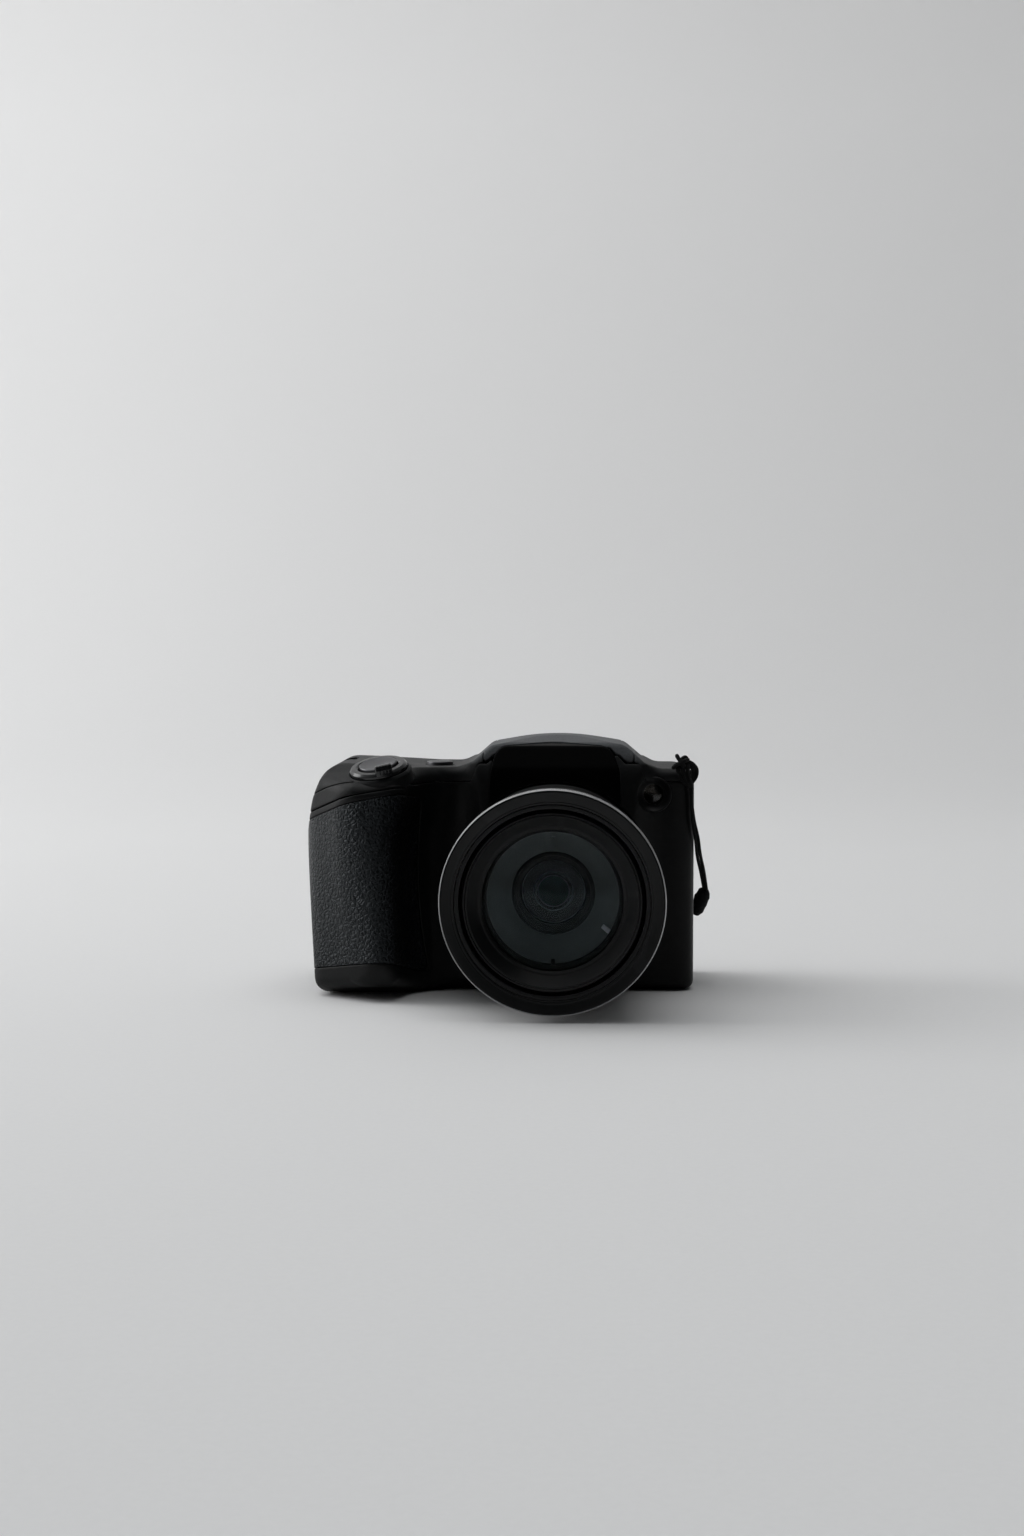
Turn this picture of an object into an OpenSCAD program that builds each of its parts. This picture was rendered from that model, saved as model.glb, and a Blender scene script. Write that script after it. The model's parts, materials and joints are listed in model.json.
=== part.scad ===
// Bridge camera with a fixed zoom lens, built as an assembly of its separate pieces.
// Lengths are in millimetres. The lens looks along -Y, +Z is up, and +X is the flat side.
// The origin is the mouth of the tripod socket, straight under the lens axis.

/* [Body] */
// Width from the grip side to the flat side
body_w = 104.4; // [104:0.1:104.8]
// Height from the base to the top of the flash lid
body_h = 69.1; // [68.9:0.1:69.3]
// Depth from the front ring to the four-way pad
body_d = 85.1; // [84.8:0.1:85.4]
// Distance from the lens axis to the flat side
flat_side = 37.8; // [37.7:0.1:38]
// Height of the top deck beside the hump
deck_h = 60.9; // [60.8:0.1:61.1]
// Thickness of the covers
wall = 1.6; // [1.5:0.1:1.7]
// Thickness of the rubber skin on the grip
skin = 1; // [0.8:0.1:1.2]

/* [Lens] */
// Height of the lens axis above the base
lens_h = 30; // [29.9:0.1:30.1]
// Outer radius of the bright trim ring
trim_r = 28.4; // [28.3:0.1:28.6]
// Outer radius of the fixed lens tube
tube_r = 26.4; // [26.3:0.1:26.5]
// Outer radius of the rear zoom barrel
rear_barrel_r = 24.3; // [24.2:0.05:24.35]
// Outer radius of the front zoom barrel
front_barrel_r = 23.1; // [23:0.05:23.2]
// Radius of the opening in front of the front lens
front_opening_r = 17.9; // [17.6:0.1:18]
// Teeth on the cam ring
cam_teeth = 88; // [88:1:88]
// Teeth on the motor pinion
pinion_teeth = 12; // [12:1:12]

/* [Controls] */
// Radius of the shutter button
shutter_r = 5; // [4.8:0.1:5.1]
// Outer radius of the zoom lever's ring
lever_r = 7.7; // [7.5:0.1:7.8]
// Radius of the power button
power_r = 3.6; // [3.4:0.1:3.8]
// Radius of the four-way pad
pad_r = 10.4; // [10.2:0.1:10.5]
// Radius of the centre button
set_r = 4; // [3.8:0.1:4.1]

/* [Screen] */
// Width of the screen window
window_w = 62; // [61:0.5:62.5]
// Height of the screen window
window_h = 48; // [47:0.5:49]

/* [Tripod socket] */
// Radius of the threaded hole
thread_r = 2.55; // [2.5:0.05:2.6]
// Depth of the threaded hole
thread_depth = 6; // [5.5:0.1:6.4]

/* [Hidden] */
$fn = 72;
arc_steps = 5;
back_y = 18.6;
front_y = back_y - body_d;
part_y = 7;
cover_back = back_y - 0.6;
grip_x = flat_side - body_w;

// Outlines of the body's blocks as corners with a rounding radius
main_front = [
    [grip_x + 2.5, 0, 5],
    [flat_side, 0, 2],
    [flat_side, deck_h - 0.5, 5],
    [-33, deck_h, 30],
    [grip_x + 9, deck_h + 1.4, 7],
    [grip_x + 5.2, deck_h - 0.7, 7],
    [grip_x + 1.9, 53.5, 22],
    [grip_x - 0.1, 43, 14]
];
main_plan = [
    [grip_x, -19, 10],
    [flat_side, -18, 5],
    [flat_side, cover_back, 3.5],
    [grip_x, cover_back, 9]
];
main_side = [
    [-19.2, 0, 5.5],
    [cover_back, 0, 2],
    [cover_back, deck_h + 1.1, 4],
    [-19.2, deck_h + 1.1, 4]
];
grip_plan = [
    [grip_x, -24, 14],
    [-55, -40.5, 10],
    [-43.5, -40.5, 7],
    [-37, -19.5, 0.5],
    [-37, part_y - 0.4, 0.5],
    [grip_x, part_y - 0.4, 0.5]
];
grip_side = [
    [-40.5, 9, 5],
    [-37.5, 4.2, 4],
    [-21, 0, 10],
    [part_y - 0.4, 0, 0.5],
    [part_y - 0.4, deck_h + 1.1, 0.5],
    [-25, deck_h + 1.5, 8],
    [-40.5, 57, 5]
];
hump_front = [
    [-22.8, 30, 1],
    [24.8, 30, 1],
    [24.8, 61.6, 2],
    [18.6, 66.7, 6],
    [0.5, body_h + 0.9, 60],
    [-17.6, 66.6, 5],
    [-22.8, 61.8, 2]
];
hump_side = [
    [-22, 30, 1],
    [17.2, 30, 1],
    [17.2, 61, 3],
    [14.5, 63.5, 4],
    [4, body_h + 1.3, 14],
    [-16.6, 67.3, 2.5],
    [-20.8, 59, 14],
    [-22, 46, 10]
];
hump_plan = [
    [-22.8, -22, 5],
    [24.8, -22, 5],
    [24.8, 17.2, 3],
    [-22.8, 17.2, 3]
];
plate_front = [
    [-17.6, 48, 0.5],
    [17.9, 48, 0.5],
    [17.4, 60, 6],
    [15.4, 67, 4],
    [-16, 67, 4],
    [-17.2, 60, 6]
];

// Where the shutter button stands on the sloping deck of the grip
shutter_at = [-46.4, -31, 60.7];
shutter_tilt = [16, -8, 0];

// Flash lid hinge
hinge_y = 9.5;
hinge_z = 65.5;
knuckle_r = 1.4;
window_slant = 55;

// Cam ring, gear and motor
gear_mod = 0.6;
gear_y = -14.6;
gear_w = 3;
motor_angle = 135;
motor_reach = gear_mod * (cam_teeth + pinion_teeth) / 2 + 0.1;
motor_at = [motor_reach * cos(motor_angle), lens_h + motor_reach * sin(motor_angle)];

// Four-way pad and screen
pad_x = -49;
pad_z = 26;
pivot_y = 14.8;
pivot_r = 0.4;
window_x = -28;
window_z = 6;

// Screws in the base
front_screws = [[28, -10.5], [-26, -10.5]];
rear_screws = [[30, 13.5], [-22, 13.5]];

// Strap bars
bar_r = 0.9;
bar_left = [-58.4, 58.6];
bar_right = [flat_side - 1.8, 57.6];

// Tether cord
cord_r = 0.9;
cord_points = [
    [36.3, -19.4, 58.6],
    [36.75, -17.9, 55.2],
    [36.95, -17.5, 51],
    [37.5, -16.9, 46],
    [38.5, -15, 41.3],
    [39.3, -11, 36.3],
    [40.5, -6.5, 31.5],
    [41.75, -1.8, 26.5]
];

function unit(v) = v / norm(v);

function flat(c) = [c[0], c[1]];

function turn_of(a, b, c) = cross(flat(b) - flat(a), flat(c) - flat(b)) > 0 ? 1 : -1;

function before(c, i) = c[(i + len(c) - 1) % len(c)];

function after(c, i) = c[(i + 1) % len(c)];

function half_angle(a, b, c) = acos(unit(flat(a) - flat(b)) * unit(flat(c) - flat(b))) / 2;

function middle(a, b, c) = unit(unit(flat(a) - flat(b)) + unit(flat(c) - flat(b)));

function inset_corner(a, b, c, t) =
    let (
        s = turn_of(a, b, c),
        p = flat(b) + middle(a, b, c) * s * t / sin(half_angle(a, b, c))
    )
    [p[0], p[1], max(b[2] - s * t, 0.2)];

function inset(c, t) = [
    for (i = [0 : len(c) - 1])
        inset_corner(before(c, i), c[i], after(c, i), t)
];

function corner_arc(a, b, c) =
    let (
        h = half_angle(a, b, c),
        m = flat(b) + middle(a, b, c) * b[2] / sin(h),
        p = flat(b) + unit(flat(a) - flat(b)) * b[2] / tan(h),
        q = flat(b) + unit(flat(c) - flat(b)) * b[2] / tan(h),
        a0 = atan2(p[1] - m[1], p[0] - m[0]),
        a1 = atan2(q[1] - m[1], q[0] - m[0]),
        sweep = (a1 - a0 + 540) % 360 - 180
    )
    [
        for (k = [0 : arc_steps])
            m + b[2] * [cos(a0 + sweep * k / arc_steps), sin(a0 + sweep * k / arc_steps)]
    ];

function rounded(c) = [
    for (i = [0 : len(c) - 1])
        each corner_arc(before(c, i), c[i], after(c, i))
];

function gear_points(teeth, tip_r, root_r, root_half, tip_half, start) =
    let (step = 360 / teeth)
    [
        for (i = [0 : teeth - 1])
            each [
                root_r * [cos(start + step * (i - root_half)), sin(start + step * (i - root_half))],
                tip_r * [cos(start + step * (i - tip_half)), sin(start + step * (i - tip_half))],
                tip_r * [cos(start + step * (i + tip_half)), sin(start + step * (i + tip_half))],
                root_r * [cos(start + step * (i + root_half)), sin(start + step * (i + root_half))]
            ]
    ];

function smooth_point(a, b, c, d, t) =
    0.5 * (2 * b + (c - a) * t + (2 * a - 5 * b + 4 * c - d) * t * t + (3 * b - a - 3 * c + d) * t * t * t);

function smooth_path(p, n) = concat(
    [
        for (i = [0 : len(p) - 2])
            for (k = [0 : n - 1])
                smooth_point(p[max(i - 1, 0)], p[i], p[i + 1], p[min(i + 2, len(p) - 1)], k / n)
    ],
    [p[len(p) - 1]]
);

function path_direction(p, i) = unit(p[min(i + 1, len(p) - 1)] - p[max(i - 1, 0)]);

function ring_points(p, i, r, sides) =
    let (
        d = path_direction(p, i),
        u = unit(cross(d, [0, 1, 0])),
        v = cross(d, u)
    )
    [for (k = [0 : sides - 1]) p[i] + r * (u * cos(360 * k / sides) + v * sin(360 * k / sides))];

module along_x(outline, x0, x1) {
    translate([x0, 0, 0])
        rotate([90, 0, 90])
            linear_extrude(x1 - x0)
                polygon(outline);
}

module along_y(outline, y0, y1) {
    translate([0, y1, 0])
        rotate([90, 0, 0])
            linear_extrude(y1 - y0)
                polygon(outline);
}

module along_z(outline, z0, z1) {
    translate([0, 0, z0])
        linear_extrude(z1 - z0)
            polygon(outline);
}

module block(low, high) {
    translate(low)
        cube(high - low);
}

// A round piece about the lens axis, from an outline of [radius, y]
module turned(outline) {
    translate([0, 0, lens_h])
        rotate([90, 0, 0])
            rotate_extrude()
                polygon([for (p = outline) [p[0], -p[1]]]);
}

// A cylinder about an axis along Y
module disc(x, z, r, y0, y1) {
    translate([x, y0, z])
        rotate([-90, 0, 0])
            cylinder(r = r, h = y1 - y0);
}

// A cylinder about an axis along X
module bar_x(y, z, r, x0, x1) {
    translate([x0, y, z])
        rotate([0, 90, 0])
            cylinder(r = r, h = x1 - x0);
}

module at_shutter() {
    translate(shutter_at)
        rotate(shutter_tilt)
            children();
}

module tube_along(p, r, sides) {
    n = len(p);
    polyhedron(
        points = [for (i = [0 : n - 1]) each ring_points(p, i, r, sides)],
        faces = concat(
            [[for (k = [0 : sides - 1]) sides - 1 - k]],
            [
                for (i = [0 : n - 2])
                    for (k = [0 : sides - 1])
                        [
                            i * sides + k,
                            i * sides + (k + 1) % sides,
                            (i + 1) * sides + (k + 1) % sides,
                            (i + 1) * sides + k
                        ]
            ],
            [[for (k = [0 : sides - 1]) (n - 1) * sides + k]]
        )
    );
}

// The three blocks that make up the body, each smaller by t on every side
module main_form(t) {
    intersection() {
        along_y(rounded(inset(main_front, t)), -30, 30);
        along_z(rounded(inset(main_plan, t)), -5, 80);
        along_x(rounded(inset(main_side, t)), -80, 50);
    }
}

module grip_form(t) {
    intersection() {
        along_y(rounded(inset(main_front, t)), -50, 20);
        along_z(rounded(inset(grip_plan, t)), -5, 80);
        along_x(rounded(inset(grip_side, t)), -80, -30);
        at_shutter()
            translate([-60, -60, -100 - t])
                cube([120, 120, 100]);
    }
}

module hump_form(t) {
    intersection() {
        along_y(rounded(inset(hump_front, t)), -30, 30);
        along_x(rounded(inset(hump_side, t)), -30, 30);
        along_z(rounded(inset(hump_plan, t)), 20, 80);
    }
}

module outer_body() {
    main_form(0);
    grip_form(0);
    hump_form(0);
}

module inner_space() {
    intersection() {
        main_form(wall);
        block([grip_x + wall + skin + 0.1, -30, 0], [50, 30, 80]);
    }
    grip_form(wall + skin + 0.1);
    hump_form(wall);
}

// The part of the hump's front that belongs to the front cover
module hump_front_zone(gap) {
    block([-23.4, -30, 20], [25.4, -9, 62 + gap]);
    along_y(rounded(inset(plate_front, -gap)), -30, -11.5);
}

// Everything above the seam of the top cover
module top_zone() {
    difference() {
        union() {
            block([-38, -45, 57], [50, 30, 80]);
            block([29.8, -12, 51], [50, part_y, 58]);
            along_x(
                [[part_y, 42.4], [part_y, 57], [30, 57], [30, 80], [-45, 80], [-45, 61]],
                -80,
                -38
            );
        }
        hump_front_zone(0);
    }
}

module lid_zone(gap) {
    block([-20.4 - gap, -25, 62 - gap], [22.4 + gap, hinge_y, 80]);
    bar_x(hinge_y, hinge_z, knuckle_r + gap, -20.4 - gap, 22.4 + gap);
}

module skin_zone(gap) {
    along_x(
        [
            [2 + gap, 3 - gap],
            [2 + gap, 43.3 + gap],
            [-42, 52.8 + gap],
            [-42, 11 - gap],
            [-15, 4.1 - gap]
        ],
        -80,
        -35.5 + gap
    );
}

module strap_pocket_left(gap) {
    block([-80, -7 - gap, 55 - gap], [-55.2 + gap, 3 + gap, 80]);
}

module strap_pocket_right(gap) {
    block([flat_side - 5 - gap, -8 - gap, 53.5 - gap], [60, 2 + gap, 80]);
}

module front_cover() {
    color("dimgray")
        difference() {
            intersection() {
                outer_body();
                block([-80, -60, -1], [60, part_y, 80]);
            }
            inner_space();
            top_zone();
            difference() {
                lid_zone(0.3);
                hump_front_zone(0);
            }
            difference() {
                skin_zone(0.1);
                grip_form(skin + 0.1);
                main_form(skin + 0.1);
            }
            intersection() {
                along_y(rounded(inset(plate_front, -0.1)), -30, -11.5);
                difference() {
                    hump_form(-1);
                    hump_form(1.05);
                }
            }
            disc(0, lens_h, tube_r + 0.4, -40, -10);
            disc(0, lens_h, 28.5, -15.9, -5);
            disc(27, 52.8, 2.8, -25, -10);
            disc(27, 52.8, 3.4, -25, -17.6);
            translate([0, 0, -1])
                cylinder(r = 4.5, h = 10);
            door_opening();
            shutter_recess();
            block([30, -6.6, 4.2], [50, 5.8, 16.8]);
            for (p = front_screws)
                translate([p[0], p[1], -1])
                    cylinder(r = 1.6, h = 6, $fn = 24);
        }
}

module door_opening() {
    block([-60.4, -21.3, -1], [-40.2, 6.2, 3.2]);
    disc(-41.6, 0.9, 0.42, -22.4, 6.9);
}

module shutter_recess() {
    at_shutter()
        translate([0, 0, -1])
            cylinder(r = 8, h = 10);
}

module top_cover() {
    color("gray")
        difference() {
            intersection() {
                outer_body();
                top_zone();
                union() {
                    difference() {
                        block([-80, -60, 30], [60, 40, 90]);
                        inner_space();
                    }
                    strap_pocket_left(1.2);
                    strap_pocket_right(1.2);
                }
            }
            lid_zone(0.3);
            strap_pocket_left(0);
            strap_pocket_right(0);
            shutter_recess();
            at_shutter()
                cylinder(r = 2.3, h = 20, center = true);
            translate([-31.7, -8, 50])
                cylinder(r = power_r + 0.3, h = 20);
            disc(bar_left[0], bar_left[1], bar_r + 0.02, -8, 4);
            disc(bar_right[0], bar_right[1], bar_r + 0.02, -9, 3);
        }
}

module rear_cover() {
    color("dimgray")
        difference() {
            union() {
                difference() {
                    intersection() {
                        main_form(0);
                        block([-80, part_y, -1], [60, 40, 80]);
                    }
                    main_form(wall);
                }
                for (z = [pad_z - 12.6, pad_z + 11])
                    block([pad_x - 1.1, 13.9, z], [pad_x + 1.1, 16.8, z + 1.6]);
            }
            translate([pad_x, pivot_y, pad_z - 15])
                cylinder(r = pivot_r + 0.04, h = 30);
            top_zone();
            block(
                [window_x - 0.15, cover_back - 1.1, window_z - 0.15],
                [window_x + window_w + 0.15, 30, window_z + window_h + 0.15]
            );
            block([window_x + 1.5, 10, window_z + 2], [window_x + window_w - 1.5, 30, window_z + window_h - 2]);
            disc(pad_x, pad_z, pad_r + 0.6, 10, 30);
            disc(-57, 50, 3.5, 10, 30);
            disc(-39, 46, 3, 10, 30);
            disc(-38, 9.5, 3, 10, 30);
            for (p = rear_screws)
                translate([p[0], p[1], -1])
                    cylinder(r = 1.6, h = 6, $fn = 24);
        }
}

module grip_skin() {
    color("black")
        intersection() {
            skin_zone(0);
            difference() {
                union() {
                    main_form(0);
                    grip_form(0);
                }
                grip_form(skin);
                main_form(skin);
            }
        }
}

module nameplate() {
    color("black")
        difference() {
            intersection() {
                along_y(rounded(plate_front), -30, -11.5);
                difference() {
                    hump_form(0);
                    hump_form(1);
                }
            }
            disc(0, lens_h, tube_r + 0.4, -40, -10);
        }
}

module lcd_window() {
    color("black")
        block(
            [window_x, cover_back - 1.1, window_z],
            [window_x + window_w, back_y - 0.3, window_z + window_h]
        );
}

module terminal_cover() {
    color("black") {
        block([flat_side - 1.1, -5.7, 4.5], [flat_side, 5.5, 16.5]);
        translate([flat_side - 0.55, -5.7, 4.5])
            cylinder(r = 0.55, h = 12);
    }
}

module usb_port() {
    color("silver")
        difference() {
            block([29.6, -4, 6], [flat_side - 2.4, 4, 15]);
            block([30.4, -1.6, 7], [flat_side, 1.6, 14]);
        }
}

module tripod_socket() {
    color("silver")
        difference() {
            union() {
                cylinder(r = 4.4, h = 7.6);
                translate([0, 0, wall + 0.1])
                    cylinder(r = 4.9, h = 1);
            }
            translate([0, 0, -1])
                cylinder(r = thread_r, h = thread_depth + 1);
        }
}

module strap_bars() {
    color("silver") {
        disc(bar_left[0], bar_left[1], bar_r, -7.9, 3.9);
        disc(bar_right[0], bar_right[1], bar_r, -8.9, 2.9);
    }
}

module focus_lamp() {
    color("orange") {
        disc(27, 52.8, 2.6, -17.9, -16);
        disc(27, 52.8, 3.6, -16.2, -14.8);
    }
}

module case_screws() {
    color("silver")
        for (p = concat(front_screws, rear_screws))
            translate([p[0], p[1], 0.3])
                difference() {
                    union() {
                        cylinder(r = 1.5, h = 1);
                        cylinder(r = 0.8, h = 4);
                    }
                    block([-0.9, -0.2, -1], [0.9, 0.2, 0.4]);
                    block([-0.2, -0.9, -1], [0.2, 0.9, 0.4]);
                }
}

module shutter_button() {
    color("gray")
        at_shutter() {
            translate([0, 0, 0.6])
                difference() {
                    cylinder(r = shutter_r, h = 1.4);
                    translate([0, 0, 31])
                        sphere(r = 30, $fn = 96);
                }
            translate([0, 0, -6.5])
                cylinder(r = 2, h = 7.3);
        }
}

module zoom_lever() {
    color("black")
        at_shutter()
            difference() {
                union() {
                    translate([0, 0, -0.85])
                        cylinder(r = lever_r, h = 1.95);
                    rotate([0, 0, -75])
                        block([5.6, -2.2, 0.3], [8.8, 2.2, 3.5]);
                }
                translate([0, 0, -2])
                    cylinder(r = shutter_r + 0.35, h = 8);
            }
}

module power_button() {
    color("gray")
        translate([-31.7, -8, 57.6]) {
            cylinder(r = power_r, h = 4);
            cylinder(r = power_r + 1, h = 0.8);
        }
}

module rear_button(x, z, r) {
    disc(x, z, r, 13.3, back_y - 0.3);
    disc(x, z, r + 0.7, 13.3, 14.8);
}

module movie_button() {
    color("gray")
        rear_button(-57, 50, 3.2);
}

module playback_button() {
    color("gray")
        rear_button(-39, 46, 2.7);
}

module menu_button() {
    color("gray")
        rear_button(-38, 9.5, 2.7);
}

module set_button() {
    color("gray")
        disc(pad_x, pad_z, set_r, 13.3, back_y - 0.2);
}

// The pad turns on pins that stand out of its carrier to the left and right
module dpad_ring() {
    color("black")
        difference() {
            union() {
                disc(pad_x, pad_z, pad_r, 16, back_y);
                for (x = [pad_x - 10, pad_x + 9.2])
                    block([x, 14, pad_z - 0.9], [x + 0.8, 16.5, pad_z + 0.9]);
            }
            disc(pad_x, pad_z, set_r + 0.6, 10, 30);
            bar_x(pivot_y, pad_z, pivot_r + 0.04, pad_x - 15, pad_x + 15);
        }
}

// The carrier turns on pins above and below, in two bosses of the rear cover
module dpad_carrier() {
    color("white")
        difference() {
            union() {
                disc(pad_x, pad_z, 8.6, 14.4, 15.2);
                bar_x(pivot_y, pad_z, pivot_r, pad_x - 9.9, pad_x + 9.9);
                translate([pad_x, pivot_y, pad_z - 12.4])
                    cylinder(r = pivot_r, h = 24.8);
            }
            disc(pad_x, pad_z, set_r + 0.9, 10, 30);
        }
}

module key_board() {
    color("green")
        block([-62, 11.6, 6], [-33, 12.4, 53]);
}

module battery_door() {
    color("dimgray")
        difference() {
            union() {
                block([-60.1, -20.9, 0], [-41.6, 5.8, 1.5]);
                disc(-41.6, 0.9, 0.8, -20.7, 5.6);
            }
            disc(-41.6, 0.9, 0.46, -40, 10);
            block([-59.8, -15, -1], [-55.8, -8, 0.5]);
        }
}

module door_pin() {
    color("silver")
        disc(-41.6, 0.9, 0.4, -22.2, 6.7);
}

module battery_box() {
    color("black")
        difference() {
            block([-60, -20.9, 2.2], [-45, 5.4, 50.3]);
            block([-59.2, -20.1, 0], [-50, 4.6, 49.5]);
            block([-48.4, -20.1, 0], [-46, 4.4, 37]);
        }
}

module battery() {
    color("gray")
        block([-59.1, -20, 3.4], [-50.1, 4.5, 48.4]);
}

module memory_card() {
    color("blue")
        block([-48.3, -20, 3.4], [-46.2, 4, 35.4]);
}

module flash_lid() {
    color("gray")
        difference() {
            union() {
                intersection() {
                    difference() {
                        hump_form(0);
                        hump_form(1.4);
                    }
                    lid_zone(0);
                }
                bar_x(hinge_y, hinge_z, knuckle_r, -16.2, 18.2);
            }
            hump_front_zone(0.3);
            bar_x(hinge_y, hinge_z, 0.66, -30, 30);
            block([-2.9, 7.9, 55], [4.9, 20, 80]);
        }
}

module flash_head() {
    color("black")
        difference() {
            intersection() {
                hump_form(1.45);
                along_x([[-9.5, 63.6], [-4.91, 60.4], [3, 60.4], [3, 70], [-9.5, 70]], -14, 16);
            }
            at_window()
                block([-13.2, -2.5, -3.3], [13.2, 2.5, 1]);
            at_window()
                block([-13.6, -2.7, -0.85], [13.6, 2.7, 1]);
        }
}

// The middle of the slanting face of the flash head, with Z pointing out of it
module at_window() {
    translate([1, -7.2, 62])
        rotate([90 + window_slant, 0, 0])
            children();
}

module flash_window() {
    color("white")
        at_window()
            block([-13.55, -2.65, -0.8], [13.55, 2.65, 0]);
}

module flash_reflector() {
    color("silver")
        at_window()
            difference() {
                translate([-13.1, 0, -0.85])
                    rotate([0, 90, 0])
                        cylinder(r = 2.4, h = 26.2);
                translate([-14, 0, -0.85])
                    rotate([0, 90, 0])
                        cylinder(r = 2.1, h = 28);
                block([-20, -5, -0.85], [20, 5, 5]);
            }
}

module flash_tube() {
    color("white")
        at_window()
            translate([-13, 0, -1.9])
                rotate([0, 90, 0])
                    cylinder(r = 0.8, h = 26);
}

module flash_pin() {
    color("silver")
        bar_x(hinge_y, hinge_z, 0.6, -16, 18);
}

module flash_tray() {
    color("black")
        difference() {
            union() {
                block([-16, -9, 58.7], [18, 11, 59.5]);
                block([-2.5, 8.7, 59], [4.5, 10.3, hinge_z]);
                bar_x(hinge_y, hinge_z, knuckle_r - 0.25, -2.5, 4.5);
            }
            bar_x(hinge_y, hinge_z, 0.62, -30, 30);
        }
}

module flash_capacitor() {
    color("black")
        translate([31.6, -11, 8])
            cylinder(r = 3.3, h = 34);
}

module lens_tube() {
    color("black")
        difference() {
            turned([
                [25.5, front_y + 3.9],
                [tube_r, front_y + 3.9],
                [tube_r, -15.6],
                [28.2, -15.6],
                [28.2, -8.2],
                [27.4, -8.2],
                [27.4, -14.9],
                [25.5, -14.9]
            ]);
            disc(motor_at[0], motor_at[1], 4.9, -15.5, -10.6);
        }
}

module front_bezel() {
    color("black")
        turned([
            [24.65, front_y + 0.9],
            [trim_r - 0.5, front_y + 0.1],
            [trim_r - 0.5, front_y + 3.9],
            [24.65, front_y + 3.9]
        ]);
}

module trim_ring() {
    color("silver")
        turned([
            [trim_r - 0.45, front_y],
            [trim_r - 0.2, front_y],
            [trim_r, front_y + 0.4],
            [trim_r, front_y + 4.4],
            [tube_r + 0.05, front_y + 5.2],
            [tube_r + 0.05, front_y + 3.95],
            [trim_r - 0.45, front_y + 3.95]
        ]);
}

module cam_ring() {
    color("white") {
        turned([[24.6, front_y + 4.5], [25.2, front_y + 4.5], [25.2, gear_y + 0.2], [24.6, gear_y + 0.2]]);
        translate([0, gear_y + gear_w, lens_h])
            rotate([90, 0, 0])
                linear_extrude(gear_w)
                    difference() {
                        polygon(gear_points(cam_teeth, 26.9, 25.7, 0.3, 0.13, motor_angle));
                        circle(r = 24.6);
                    }
    }
}

module zoom_pinion() {
    color("white") {
        translate([motor_at[0], gear_y + gear_w, motor_at[1]])
            rotate([90, 0, 0])
                linear_extrude(gear_w)
                    polygon(gear_points(pinion_teeth, 4.1, 2.9, 0.27, 0.11, motor_angle + 195));
        disc(motor_at[0], motor_at[1], 0.8, gear_y - 0.4, -1);
    }
}

module zoom_motor() {
    color("silver")
        difference() {
            disc(motor_at[0], motor_at[1], 4.2, -5.1, 6.6);
            disc(motor_at[0], motor_at[1], 0.86, -10, -0.8);
        }
}

module zoom_barrel_rear() {
    color("black")
        turned([
            [rear_barrel_r - 0.8, front_y + 1.2],
            [rear_barrel_r, front_y + 1.2],
            [rear_barrel_r, -24],
            [rear_barrel_r - 0.8, -24]
        ]);
}

module zoom_barrel_front() {
    color("black")
        turned([
            [21.9, front_y + 1.6],
            [front_barrel_r, front_y + 1.6],
            [front_barrel_r, -28],
            [21.9, -28]
        ]);
}

module front_lens_ring() {
    color("black")
        turned([
            [21.4, front_y + 1.8],
            [21.85, front_y + 1.8],
            [21.85, front_y + 6.3],
            [front_opening_r, front_y + 6.3],
            [front_opening_r, front_y + 5.7]
        ]);
}

module front_lens() {
    color("lightblue", 0.5)
        difference() {
            intersection() {
                disc(0, lens_h, 20.5, front_y, -54);
                translate([0, front_y + 4.2 + 70.8, lens_h])
                    sphere(r = 70.8, $fn = 128);
            }
            translate([0, front_y + 9.2 + 55, lens_h])
                sphere(r = 55, $fn = 128);
        }
}

module front_cell() {
    color("gray")
        turned([
            [20, -53.1],
            [21.8, -53.1],
            [21.8, -38],
            [12.3, -38],
            [12.3, -43],
            [10.4, -43],
            [10.4, -44.6],
            [17, -53.1]
        ]);
}

module second_lens() {
    color("lightblue", 0.5)
        intersection() {
            disc(0, lens_h, 12.2, -43, -38.6);
            translate([0, -43 + 32, lens_h])
                sphere(r = 32, $fn = 128);
        }
}

module variator_cell() {
    color("black")
        turned([[7.6, -26], [11.4, -26], [11.4, -18], [7.6, -18]]);
}

module variator_lens() {
    color("lightblue", 0.5)
        intersection() {
            disc(0, lens_h, 7.55, -25, -20);
            translate([0, -25 + 24, lens_h])
                sphere(r = 24, $fn = 96);
        }
}

module shutter_unit() {
    color("black")
        turned([[4.5, -11.4], [13, -11.4], [13, -8.3], [4.5, -8.3]]);
}

module lens_base() {
    color("black")
        difference() {
            union() {
                block([-28, -8.15, lens_h - 27.9], [28, -5.2, lens_h + 26.5]);
                disc(0, lens_h, 14, -5.3, 3);
            }
            disc(0, lens_h, 8.4, -10, 0);
            disc(0, lens_h, 12.4, -5.1, 10);
            disc(motor_at[0], motor_at[1], 1.3, -20, 10);
        }
}

module focus_lens() {
    color("lightblue", 0.5)
        difference() {
            union() {
                disc(0, lens_h, 12, -3.6, -2.2);
                disc(0, lens_h, 8.2, -3.9, -0.8);
            }
            translate([0, 24, lens_h])
                sphere(r = 26, $fn = 96);
        }
}

module image_sensor() {
    color("silver") {
        block([-7, 1.2, lens_h - 6], [7, 3.1, lens_h + 6]);
        block([-13.5, 3.05, lens_h - 13.5], [13.5, 4.2, lens_h + 13.5]);
    }
}

module main_board() {
    color("green")
        block([-60, 7.8, 5], [34, 8.8, 55]);
}

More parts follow.
